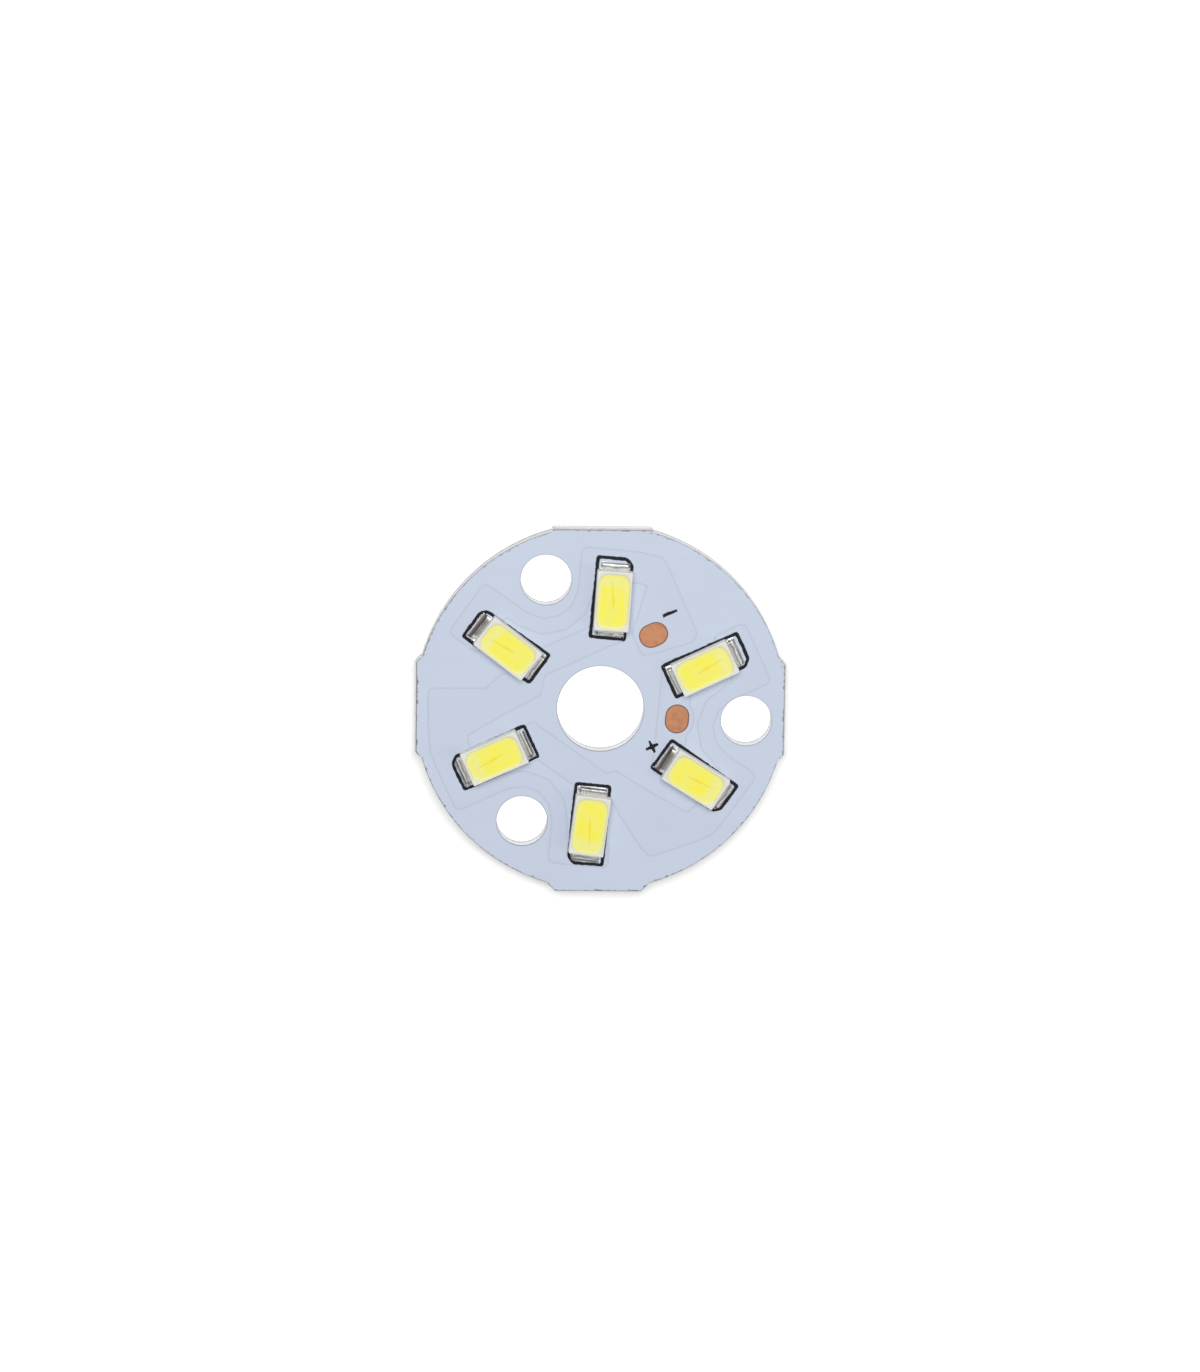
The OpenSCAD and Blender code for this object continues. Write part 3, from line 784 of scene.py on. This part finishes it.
class Loft:
    """A mesh that grows ring by ring. Every ring has the same number of points."""

    def __init__(self, bm: BMesh | None = None) -> None:
        """Starts with no ring.

        Args:
            bm: The mesh to grow in, or none for a new one.
        """
        self.bm = bmesh.new() if bm is None else bm
        self.first: list[bmesh.types.BMVert] = []
        self.last: list[bmesh.types.BMVert] = []

    def ring(self, points: Sequence[Vector]) -> None:
        """Adds the next ring and the wall up to it.

        Args:
            points: The ring's points, in order.
        """
        if not self.last:
            made = bmesh.ops.create_circle(self.bm, cap_ends=False, segments=len(points), radius=1.0)
            self.first = self.last = list(made["verts"])
        else:
            made = bmesh.ops.extrude_edge_only(self.bm, edges=self._edges(self.last))
            fresh = {v for v in made["geom"] if isinstance(v, bmesh.types.BMVert)}
            self.last = [
                next(e.other_vert(v) for e in v.link_edges if e.other_vert(v) in fresh) for v in self.last
            ]
        for vert, point in zip(self.last, points):
            vert.co = point

    def _edges(self, ring: Sequence[bmesh.types.BMVert]) -> list[bmesh.types.BMEdge]:
        """The edges along a ring of vertices."""
        return [self.bm.edges.get((ring[k - 1], ring[k])) for k in range(len(ring))]

    def cap(self) -> "Loft":
        """Closes the first ring and the last with a face each."""
        for ring in (self.first, self.last):
            bmesh.ops.edgeloop_fill(self.bm, edges=self._edges(ring))
        return self

    def join(self) -> None:
        """Joins the last ring to the first, as on a closed tube."""
        bmesh.ops.bridge_loops(self.bm, edges=self._edges(self.first) + self._edges(self.last))


def rounded_rectangle(half_x: float, half_y: float, radius: float, arc: int, side: int) -> Ring:
    """Points round a rectangle with round corners, anticlockwise.

    Args:
        half_x: Half its length.
        half_y: Half its width.
        radius: Radius of the corners.
        arc: Steps round each corner.
        side: Points along each side between the corners.

    Returns:
        4 * (arc + 1 + side) points at z = 0.
    """
    corners = []
    for quarter in range(4):
        sign_x, sign_y = ((1, 1), (-1, 1), (-1, -1), (1, -1))[quarter]
        centre = Vector((sign_x * (half_x - radius), sign_y * (half_y - radius), 0.0))
        turn = [math.radians(90 * (quarter + k / arc)) for k in range(arc + 1)]
        corners.append([centre + radius * Vector((math.cos(a), math.sin(a), 0.0)) for a in turn])
    points = []
    for quarter in range(4):
        start, end = corners[quarter][-1], corners[(quarter + 1) % 4][0]
        points += corners[quarter]
        points += [start.lerp(end, (k + 1) / (side + 1)) for k in range(side)]
    return points


def at_height(ring: Iterable[Vector], z: float) -> Ring:
    """The same ring at another height."""
    return [Vector((p.x, p.y, z)) for p in ring]


def face_outwards(bm: BMesh) -> None:
    """Turns the faces of every closed shell of a mesh outwards.

    Args:
        bm: The mesh.
    """
    bmesh.ops.recalc_face_normals(bm, faces=bm.faces)
    waiting = set(bm.faces)
    while waiting:
        front, shell, volume = [waiting.pop()], [], 0.0
        while front:
            face = front.pop()
            shell.append(face)
            first, *rest = (vert.co for vert in face.verts)
            volume += sum(first.dot(a.cross(b)) for a, b in zip(rest, rest[1:]))
            near = {other for edge in face.edges for other in edge.link_faces} & waiting
            waiting -= near
            front.extend(near)
        if volume < 0:
            bmesh.ops.reverse_faces(bm, faces=shell)


def make_piece(
    name: str,
    bm: BMesh,
    place: Matrix,
    material: Material,
    replaces: Sequence[str] = (),
) -> None:
    """Turns a bmesh into a piece of the board.

    Args:
        name: Name of the piece.
        bm: Its mesh in its own frame, in millimetres. It is freed.
        place: From that frame to the board's, in millimetres.
        material: Its material.
        replaces: The solids that it stands for.
    """
    face_outwards(bm)
    mesh = bpy.data.meshes.new(name)
    bm.to_mesh(mesh)
    bm.free()
    local = mesh.attributes.new(LAMP_PLACE, "FLOAT_VECTOR", "POINT")
    for vert, entry in zip(mesh.vertices, local.data):
        entry.vector = vert.co
    mesh.transform(Matrix.Scale(MM, 4) @ place)
    if place.determinant() < 0:
        mesh.flip_normals()
    mesh.materials.append(material)
    mesh.shade_smooth()
    mesh.set_sharp_from_angle(angle=math.radians(SHARP_TURN))
    piece = bpy.data.objects.new(name, mesh)
    bpy.context.scene.collection.objects.link(piece)
    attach(piece, ROOT)
    if replaces:
        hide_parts(*replaces)
    LOG.info("piece %s: %d faces", name, len(mesh.polygons))


def dress(nodes: Iterable[str], material: Material) -> None:
    """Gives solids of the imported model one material.

    Args:
        nodes: Their names.
        material: The material.
    """
    for name in nodes:
        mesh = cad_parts[name].data
        mesh.materials.clear()
        mesh.materials.append(material)
        LOG.info("dressed %s: %s", name, material.name)


@dataclass(frozen=True)
class Finishes:
    """Every material of the board, made once."""

    aluminium: Material = field(default_factory=RolledAluminium().material)
    resin: Material = field(default_factory=FilledResin().material)
    copper: Material = field(default_factory=BareCopper().material)
    lacquer: Material = field(default_factory=WhiteLacquer().material)
    ink: Material = field(default_factory=PrintInk().material)
    ivory: Material = field(default_factory=MouldedIvory().material)
    silicone: Material = field(default_factory=YellowSilicone().material)
    silver: Material = field(default_factory=SilverPlate().material)
    solder: Material = field(default_factory=TinSolder(Fill.PLAIN).material)
    flooded: Material = field(default_factory=TinSolder(Fill.FLOODED).material)
    chip: Material = field(default_factory=ChipCrystal().material)
    gold: Material = field(default_factory=FineGold().material)


@dataclass
class Footprints:
    """Where the LEDs stand on the board: turned_lamp at art_turn, and the rest clockwise from it."""

    ring_r: float = 9.35
    art_turn: float = 25.0
    turned_lamp: int = 2
    art_y: float = -0.25
    lamp_z: float = 1.695
    shifts: tuple[Pair, ...] = (
        (-0.12, -0.08), (-0.2, -0.15), (0.12, 0.02), (-0.02, 0.06), (-0.02, -0.18), (-0.18, 0.04)
    )
    twists: tuple[float, ...] = (1.5, 0.5, 3.0, -2.0, -0.5, -2.5)

    def footprint(self, number: int) -> Matrix:
        """From the frame of an LED's footprint to the board's, +X outwards.

        Args:
            number: The LED, 1 to 6.

        Returns:
            The matrix, in millimetres.
        """
        turn = math.radians(self.art_turn + 360 / len(LAMPS) * (self.turned_lamp - number))
        return (
            Matrix.Translation((0.0, self.art_y, 0.0))
            @ Matrix.Rotation(turn, 4, "Z")
            @ Matrix.Translation((self.ring_r, 0.0, 0.0))
        )

    def lamp(self, number: int) -> Matrix:
        """From an LED's own frame to the board's, as it was set down.

        Args:
            number: The LED, 1 to 6.

        Returns:
            The matrix, in millimetres.
        """
        x, y = self.shifts[number - 1]
        return (
            self.footprint(number)
            @ Matrix.Translation((x, y, self.lamp_z))
            @ Matrix.Rotation(math.radians(self.twists[number - 1]), 4, "Z")
        )


@dataclass
class BoardStack:
    """The plate with its layers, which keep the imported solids."""

    finishes: Finishes
    coppers: tuple[str, ...] = ("copper_negative", "copper_link_a", "copper_link_b", "copper_positive")
    probe_z: float = 10.0
    bare_top: float = 1.645

    def dress(self) -> None:
        """Gives each layer its material."""
        dress(["base_plate"], self.finishes.aluminium)
        dress(["dielectric"], self.finishes.resin)
        dress(self.coppers, self.finishes.copper)
        dress(["solder_mask"], self.finishes.lacquer)

    def lacquer_top(self, x: float, y: float) -> float:
        """Height of the lacquer at a place.

        Args:
            x: The place along X, in millimetres.
            y: The place along Y, in millimetres.

        Returns:
            The height, in millimetres.
        """
        start, down = Vector((x, y, self.probe_z)) * MM, Vector((0.0, 0.0, -1.0))
        hit, point, _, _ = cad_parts["solder_mask"].ray_cast(start, down)
        return point.z / MM if hit else self.bare_top


@dataclass
class PrintedMarks:
    """The screen print: an outline round each LED and the two polarity signs."""

    finishes: Finishes
    stack: BoardStack
    spots: Footprints
    ink_t: float = 0.015
    bite: float = 0.002
    line_w: float = 0.27
    half_l: float = 3.27
    half_w: float = 1.385
    cut: float = 0.45
    soft: float = 0.12
    slips: tuple[float, ...] = (0.07, -0.05, 0.07, 0.02, -0.11, 0.0)
    minus_half: Pair = (0.63, 0.115)
    plus_tip: float = 0.09
    plus_arm: float = 0.54
    plus_web: float = 0.15
    sign_soft: float = 0.05
    screen_pitch: float = 0.19
    ragged: float = 0.036
    outline_points: int = 400
    sign_points: int = 120
    seed_step: float = 1.7
    inner_seed: float = 40.0

    def _walk(self, corners: Sequence[Vector], count: int) -> list[tuple[Vector, Vector, float]]:
        """Points along a closed outline, evenly spaced.

        Args:
            corners: The outline's corners, anticlockwise.
            count: How many points.

        Returns:
            For each point its place, the way out of the outline and its distance along it.
        """
        sides = [(corners[k], corners[(k + 1) % len(corners)]) for k in range(len(corners))]
        lengths = [(b - a).length for a, b in sides]
        total = sum(lengths)
        walk, side, start = [], 0, 0.0
        for k in range(count):
            along = total * k / count
            while along - start > lengths[side]:
                start += lengths[side]
                side += 1
            a, b = sides[side]
            way = (b - a) / lengths[side]
            walk.append((a + way * (along - start), Vector((way.y, -way.x, 0.0)), along))
        return walk

    def _edge(self, corners: Sequence[Vector], count: int, seed: float) -> Ring:
        """One ragged edge of the print, scalloped by the weave of the screen.

        Args:
            corners: The edge's corners.
            count: How many points.
            seed: Sets its raggedness apart from other edges'.

        Returns:
            The edge's points.
        """
        edge = []
        for point, out, along in self._walk(corners, count):
            scallop = math.sin(2 * math.pi * along / self.screen_pitch + seed)
            quick = noise.noise(Vector((along * 3.1, seed, 0.0)))
            slow = noise.noise(Vector((along * 0.9, seed, 5.0)))
            edge.append(point + out * self.ragged * (0.55 * scallop + 1.1 * (quick + slow)))
        return edge

    def _softened(self, corners: Sequence[Vector], radius: float) -> list[Vector]:
        """The same outline with its corners run round, as wet ink does.

        Args:
            corners: The outline's corners.
            radius: How far from each corner the curve starts.

        Returns:
            Its points.
        """
        points = []
        for k, corner in enumerate(corners):
            before, after = corners[k - 1] - corner, corners[(k + 1) % len(corners)] - corner
            start = corner + before.normalized() * min(radius, before.length / 2)
            end = corner + after.normalized() * min(radius, after.length / 2)
            for share in (0.0, 0.25, 0.5, 0.75, 1.0):
                points.append(start.lerp(corner, share).lerp(corner.lerp(end, share), share))
        return points

    def _corners(self, grow: float) -> list[Vector]:
        """An LED's printed outline, grown from the middle of its line."""
        x, y = self.half_l + grow, self.half_w + grow
        cut = self.cut + grow * (2 - math.sqrt(2))
        flat = [(-x, -y), (x - cut, -y), (x, cut - y), (x, y), (-x, y)]
        return self._softened([Vector((px, py, 0.0)) for px, py in flat], self.soft + max(grow, 0.0))

    def _on_board(self, ring: Ring, place: Matrix, rise: float) -> Ring:
        """A ring put in its place on the board, at a height above the lacquer."""
        moved = [place @ p for p in ring]
        return [Vector((p.x, p.y, self.stack.lacquer_top(p.x, p.y) + rise)) for p in moved]

    def _print_outline(self, bm: BMesh, number: int) -> None:
        """Prints the outline of one LED, as a closed tube of ink.

        Args:
            bm: The mesh that takes it.
            number: The LED, 1 to 6.
        """
        place = self.spots.footprint(number) @ Matrix.Translation((0.0, self.slips[number - 1], 0.0))
        seed, half, low = self.seed_step * number, self.line_w / 2, -self.bite
        outer = self._edge(self._corners(half), self.outline_points, seed)
        inner = self._edge(self._corners(-half), self.outline_points, seed + self.inner_seed)
        loft = Loft(bm)
        for ring, rise in ((outer, low), (outer, self.ink_t), (inner, self.ink_t), (inner, low)):
            loft.ring(self._on_board(ring, place, rise))
        loft.join()

    def _sign_corners(self, sign: Sign) -> list[Vector]:
        """The corners of a sign about its middle, anticlockwise.

        Args:
            sign: The sign.

        Returns:
            The corners.
        """
        if sign is Sign.MINUS:
            x, y = self.minus_half
            return [Vector((px, py, 0.0)) for px, py in ((-x, -y), (x, -y), (x, y), (-x, y))]
        tip, arm, web = self.plus_tip, self.plus_arm, self.plus_web
        quarter = [Vector((px, py, 0.0)) for px, py in ((tip, -arm), (web, -web), (arm, -tip))]
        return [Matrix.Rotation(math.radians(90 * k), 3, "Z") @ p for k in range(4) for p in quarter]

    def _print_sign(self, sign: Sign) -> None:
        """Prints one sign, as a flat plate of ink.

        Args:
            sign: The sign.
        """
        x, y, turn = sign.value
        place = Matrix.Translation((x, y, 0.0)) @ Matrix.Rotation(math.radians(turn), 4, "Z")
        edge = self._edge(self._softened(self._sign_corners(sign), self.sign_soft), self.sign_points, x)
        loft = Loft()
        for rise in (-self.bite, self.ink_t):
            loft.ring(self._on_board(edge, place, rise))
        name = f"printed_{sign.name.lower()}"
        make_piece(name, loft.cap().bm, Matrix.Identity(4), self.finishes.ink)

    def build(self) -> None:
        """Builds the outlines and the signs."""
        outlines = bmesh.new()
        for number in LAMPS:
            self._print_outline(outlines, number)
        make_piece("printed_outlines", outlines, Matrix.Identity(4), self.finishes.ink, ["legend"])
        for sign in Sign:
            self._print_sign(sign)


@dataclass
class SolderJoint:
    """The solder at one end of an LED: a hollow fillet from the pad to the tab, and a film on the tab.

    It is built in the LED's own frame, turned so that +X points out of this end.
    """

    fill: Fill
    reach: Reach
    body_end: float
    pad_near: float = 1.75
    pad_half: float = 1.15
    pad_corner: float = 0.08
    tab_near: float = 1.81
    tab_tip: float = 2.9
    tab_half: float = 1.05
    tab_t: float = 0.2
    tab_corner: float = 0.02
    gap: float = 0.004
    layer_t: float = 0.06
    edge_t: float = 0.03
    crest_drop: float = 0.005
    climb_from: float = 0.02
    climb_run: float = 0.12
    least_climb: float = 0.01
    film_from: float = 0.012
    film_gap: float = 0.001
    film_corner: float = 0.03
    arc: int = 4
    side: int = 14

    def _ring(self, near: float, far: float, half_w: float, radius: float) -> Ring:
        """A rectangle with round corners that lies along the tab.

        Args:
            near: Where it starts.
            far: Where it ends.
            half_w: Half its width.
            radius: Radius of its corners.

        Returns:
            Its points.
        """
        middle = Vector(((near + far) / 2, 0.0, 0.0))
        flat = rounded_rectangle((far - near) / 2, half_w, radius, self.arc, self.side)
        return [p + middle for p in flat]

    def _climb(self, x: float) -> float:
        """How far the fillet climbs at a place along the tab, next to nothing under the body.

        Args:
            x: The place.

        Returns:
            The share of its full height.
        """
        share = (x - self.body_end - self.climb_from) / self.climb_run
        share = max(0.0, min(1.0, share))
        return max(self.least_climb, share * share * (3 - 2 * share))

    def _add_fillet(self, bm: BMesh, pad: Ring) -> None:
        """Adds the layer under the tab and the fillet round it.

        Args:
            bm: The mesh that takes them.
            pad: The pad's outline.
        """
        tab = self._ring(self.tab_near, self.tab_tip + self.gap, self.tab_half + self.gap, self.tab_corner)
        under, edge, crest = -self.gap, self.edge_t - self.layer_t, self.tab_t - self.crest_drop
        loft = Loft(bm)
        loft.ring(at_height(tab, under))
        for share in (0.0, 0.12, 0.28, 0.48, 0.72, 1.0):
            ring = []
            for inner, outer in zip(tab, pad):
                top = under + (crest - under) * self._climb(inner.x)
                low = under + (edge - under) * self._climb(outer.x)
                p = inner.lerp(outer, share)
                ring.append(Vector((p.x, p.y, low + (top - low) * (1 - share) ** 2)))
            loft.ring(ring)
        loft.ring(at_height(pad, -self.layer_t))
        loft.cap()

    def _add_film(self, bm: BMesh) -> None:
        """Adds the film on the tab.

        Args:
            bm: The mesh that takes it.
        """
        start, base = self.body_end + self.film_from, self.tab_t + self.film_gap
        loft = Loft(bm)
        for inset, share in ((0.0, 0.0), (0.004, 0.4), (0.03, 0.75), (0.08, 0.95), (0.14, 1.0)):
            ring = self._ring(start + inset, self.tab_tip - inset, self.tab_half - inset, self.film_corner)
            loft.ring(at_height(ring, base + self.fill.value * share))
        loft.cap()

    def build(self, to_lamp: Matrix) -> BMesh:
        """Builds the joint.

        Args:
            to_lamp: From the footprint's frame to the LED's, both turned to this end.

        Returns:
            The mesh.
        """
        bm = bmesh.new()
        pad = self._ring(self.pad_near, self.reach.value, self.pad_half, self.pad_corner)
        self._add_fillet(bm, [to_lamp @ p for p in pad])
        self._add_film(bm)
        return bm


@dataclass
class Lamp:
    """One LED: moulded body, leads, chip, wires, silicone and its two solder joints."""

    number: int
    finishes: Finishes
    spots: Footprints
    fills: Mapping[End, Fill]
    reaches: Mapping[End, Reach]
    foot: Pair = (2.46, 1.45)
    height: float = 0.9
    draft: float = 2.5
    corner: float = 0.12
    top_round: float = 0.035
    window: Pair = (2.201, 1.251)
    window_r: float = 0.8
    floor: Pair = (1.726, 0.776)
    floor_r: float = 0.325
    floor_z: float = 0.2
    fill_edge: float = 0.884
    fill_middle: float = 0.86
    creep: float = 0.07
    gap: float = 0.004
    arc: int = 7

    def node(self, piece: str) -> str:
        """Name of one of this LED's solids."""
        return f"led_{self.number}_{piece}"

    def _wall(self, z: float, inset: float) -> Ring:
        """A ring on the reflector's wall.

        Args:
            z: Its height in the body.
            inset: How far it lies inside the wall.

        Returns:
            The ring.
        """
        share = (z - self.floor_z) / (self.height - self.floor_z)
        half = [f + (w - f) * share - inset for f, w in zip(self.floor, self.window)]
        radius = self.floor_r + (self.window_r - self.floor_r) * share - inset
        return at_height(rounded_rectangle(half[0], half[1], radius, self.arc, 1), z)

    def _side(self, z: float, inset: float) -> Ring:
        """A ring on the body's drafted sides.

        Args:
            z: Its height in the body.
            inset: How far it lies inside the side.

        Returns:
            The ring.
        """
        lean = z * math.tan(math.radians(self.draft)) + inset
        half = [size - lean for size in self.foot]
        return at_height(rounded_rectangle(half[0], half[1], self.corner, self.arc, 1), z)

    def _make(self, piece: str, loft: Loft, material: Material, solid: str) -> None:
        """Caps a loft in this LED's frame and makes it the piece that stands for one of its solids."""
        place = self.spots.lamp(self.number)
        make_piece(self.node(piece), loft.cap().bm, place, material, [self.node(solid)])

    def build_body(self) -> None:
        """Builds the moulded body with its round edges and the reflector cavity."""
        r, loft = self.top_round, Loft()
        loft.ring(self._side(self.gap, 0.0))
        for turn in (0.0, 30.0, 60.0, 90.0):
            a = math.radians(turn)
            loft.ring(self._side(self.height - r + r * math.sin(a), r - r * math.cos(a)))
        for turn in (90.0, 45.0, 0.0):
            a = math.radians(turn)
            z = self.height - r * 0.5 * (1 - math.sin(a))
            loft.ring(self._wall(z, -0.5 * r * math.sin(a)))
        loft.ring(self._wall(self.floor_z + self.gap, 0.0))
        self._make("body", loft, self.finishes.ivory, "housing")

    def build_silicone(self) -> None:
        """Builds the silicone, which creeps up the wall at its edge."""
        loft = Loft()
        loft.ring(self._wall(self.floor_z + self.gap * 1.5, self.gap))
        loft.ring(self._wall(self.fill_edge, self.gap / 2))
        drop = self.fill_edge - self.fill_middle
        for inset in (0.02, 0.05, 0.1, 0.18, 0.3, 0.5):
            ring = self._wall(self.fill_edge, inset)
            loft.ring(at_height(ring, self.fill_middle + drop * math.exp(-inset / self.creep)))
        self._make("silicone", loft, self.finishes.silicone, "phosphor")

    def build_solder(self, end: End) -> None:
        """Builds one solder joint.

        Args:
            end: The end of the LED.
        """
        fill = self.fills[end]
        joint = SolderJoint(fill, self.reaches[end], self.foot[0])
        lamp, footprint = self.spots.lamp(self.number), self.spots.footprint(self.number)
        flip = Matrix.Diagonal((float(end.value), 1.0, 1.0, 1.0))
        bm = joint.build(flip @ lamp.inverted() @ footprint @ flip)
        solid = self.node(f"{end.name.lower()}_solder")
        finish = self.finishes.flooded if fill is Fill.FLOODED else self.finishes.solder
        make_piece(f"{solid}_joint", bm, lamp @ flip, finish, [solid])

    def dress(self) -> None:
        """Gives the leads, the chip and its wires their materials."""
        dress([self.node("cathode_lead"), self.node("anode_lead")], self.finishes.silver)
        dress([self.node("die")], self.finishes.chip)
        dress([self.node("bond_wires")], self.finishes.gold)

    def build(self) -> None:
        """Builds and dresses the whole LED."""
        self.build_body()
        self.build_silicone()
        for end in End:
            self.build_solder(end)
        self.dress()


@dataclass(frozen=True)
class Softbox:
    """A wide lamp that looks at the board. Its place and size are in metres."""

    name: str
    place: Spot
    size: Pair
    watts: float

    def build(self) -> None:
        """Hangs the lamp."""
        light = bpy.data.lights.new(self.name, "AREA")
        light.shape = "RECTANGLE"
        light.size, light.size_y = self.size
        light.energy = self.watts
        lamp = bpy.data.objects.new(self.name, light)
        lamp.location = self.place
        lamp.rotation_mode = "QUATERNION"
        lamp.rotation_quaternion = (-Vector(self.place)).to_track_quat("-Z", "Y")
        bpy.context.scene.collection.objects.link(lamp)


@dataclass
class Studio:
    """Floor, lamps, sky and camera."""

    floor_half: float = 1.5
    floor_z: float = -0.02
    floor_colour: Colour = (0.90, 0.90, 0.90)
    lift: float = 0.22
    under_lift: float = 0.5
    under_r: Pair = (14.0, 13.5)
    far_lift: float = 0.5
    far_r: Pair = (60.0, 400.0)
    mirror_lift: float = 0.2
    sky: float = 0.336
    sky_mirror_lift: float = 0.16
    lamps: tuple[Softbox, ...] = (
        Softbox("key", (-0.03, 0.16, 0.42), (0.34, 0.24), 1.404),
        Softbox("side", (0.34, -0.10, 0.26), (0.10, 0.30), 0.27),
    )
    focal_px: float = 5500.0
    distance: float = 444.0
    tilt: float = 11.1
    pan: float = 1.6
    roll: float = -0.8
    aim: Pair = (0.037, -1.83)
    aim_z: float = 1.645
    image_h: float = 1372.0
    sensor: float = 36.0

    def _rays(self, g: Graph) -> tuple[Socket, Socket]:
        """Whether a ray comes from the camera, and whether it comes off a mirror or through glass."""
        kinds = ("Camera", "Glossy", "Transmission")
        seen, mirrored, passed = (g.node("ShaderNodeLightPath", {}, {}, f"Is {kind} Ray") for kind in kinds)
        return seen, mirrored.larger(passed)

    def build_floor(self) -> None:
        """Lays the pale floor, which is open from below."""
        g = Graph(bpy.data.materials.new("pale_floor"))
        cloth = g.node("ShaderNodeBsdfDiffuse", {}, {"Color": rgba(self.floor_colour)})
        seen, mirrored = self._rays(g)
        x, y, _ = g.parts(g.place())
        reach = g.length(x, y)
        under, far = reach.ramp(*self.under_r), reach.ramp(*self.far_r)
        shown = self.lift + under * self.under_lift + far * self.far_lift
        lift = seen * shown + mirrored * self.mirror_lift
        glow = g.node("ShaderNodeEmission", {}, {"Color": g.vector(lift, lift, lift)})
        both = g.node("ShaderNodeAddShader", {}, {0: cloth, 1: glow})
        clear = g.node("ShaderNodeBsdfTransparent", {}, {})
        below = g.node("ShaderNodeNewGeometry", {}, {}, "Backfacing")
        g.end(g.node("ShaderNodeMixShader", {}, {0: below, 1: both, 2: clear}))
        bm = bmesh.new()
        bmesh.ops.create_grid(bm, x_segments=1, y_segments=1, size=self.floor_half)
        bmesh.ops.translate(bm, verts=bm.verts, vec=(0.0, 0.0, self.floor_z * MM))
        mesh = bpy.data.meshes.new("floor")
        bm.to_mesh(mesh)
        bm.free()
        mesh.materials.append(g.owner)
        floor = bpy.data.objects.new("floor", mesh)
        bpy.context.scene.collection.objects.link(floor)

    def build_sky(self) -> None:
        """Lights the scene evenly, and shows white behind it."""
        world = bpy.data.worlds.new("studio")
        g = Graph(world)
        seen, mirrored = self._rays(g)
        level = self.sky + seen * (1.0 - self.sky) + mirrored * self.sky_mirror_lift
        g.end(g.node("ShaderNodeBackground", {}, {"Color": g.vector(level, level, level)}))
        bpy.context.scene.world = world

    def build_camera(self) -> None:
        """Sets the camera where the photograph was taken from."""
        turn = (
            Matrix.Rotation(math.radians(self.tilt), 3, "X")
            @ Matrix.Rotation(math.radians(self.pan), 3, "Y")
            @ Matrix.Rotation(math.radians(self.roll), 3, "Z")
        )
        back = turn.transposed()
        place = Vector((0.0, 0.0, self.aim_z)) - back @ Vector((*self.aim, -self.distance))
        data = bpy.data.cameras.new("camera")
        data.sensor_width = self.sensor
        data.lens = self.sensor * self.focal_px / self.image_h
        data.clip_start = 0.01
        camera = bpy.data.objects.new("camera", data)
        camera.matrix_world = Matrix.Translation(place * MM) @ back.to_4x4()
        bpy.context.scene.collection.objects.link(camera)
        bpy.context.scene.camera = camera

    def build(self) -> None:
        """Builds the whole studio."""
        self.build_floor()
        self.build_sky()
        for lamp in self.lamps:
            lamp.build()
        self.build_camera()
        bpy.context.scene.view_settings.view_transform = "Standard"


def main() -> None:
    """Builds the board's looks and the studio."""
    logging.basicConfig(level=logging.INFO, format="%(name)s %(message)s")
    Studio().build()
    finishes, spots = Finishes(), Footprints()
    stack = BoardStack(finishes)
    stack.dress()
    PrintedMarks(finishes, stack, spots).build()
    for number in LAMPS:
        fills = {end: Fill.FLOODED if (number, end) in FLOODED_ENDS else Fill.PLAIN for end in End}
        reaches = {end: Reach.SHORT if (number, end) in SHORT_PADS else Reach.FULL for end in End}
        Lamp(number, finishes, spots, fills, reaches).build()


if __name__ == "__main__":
    main()
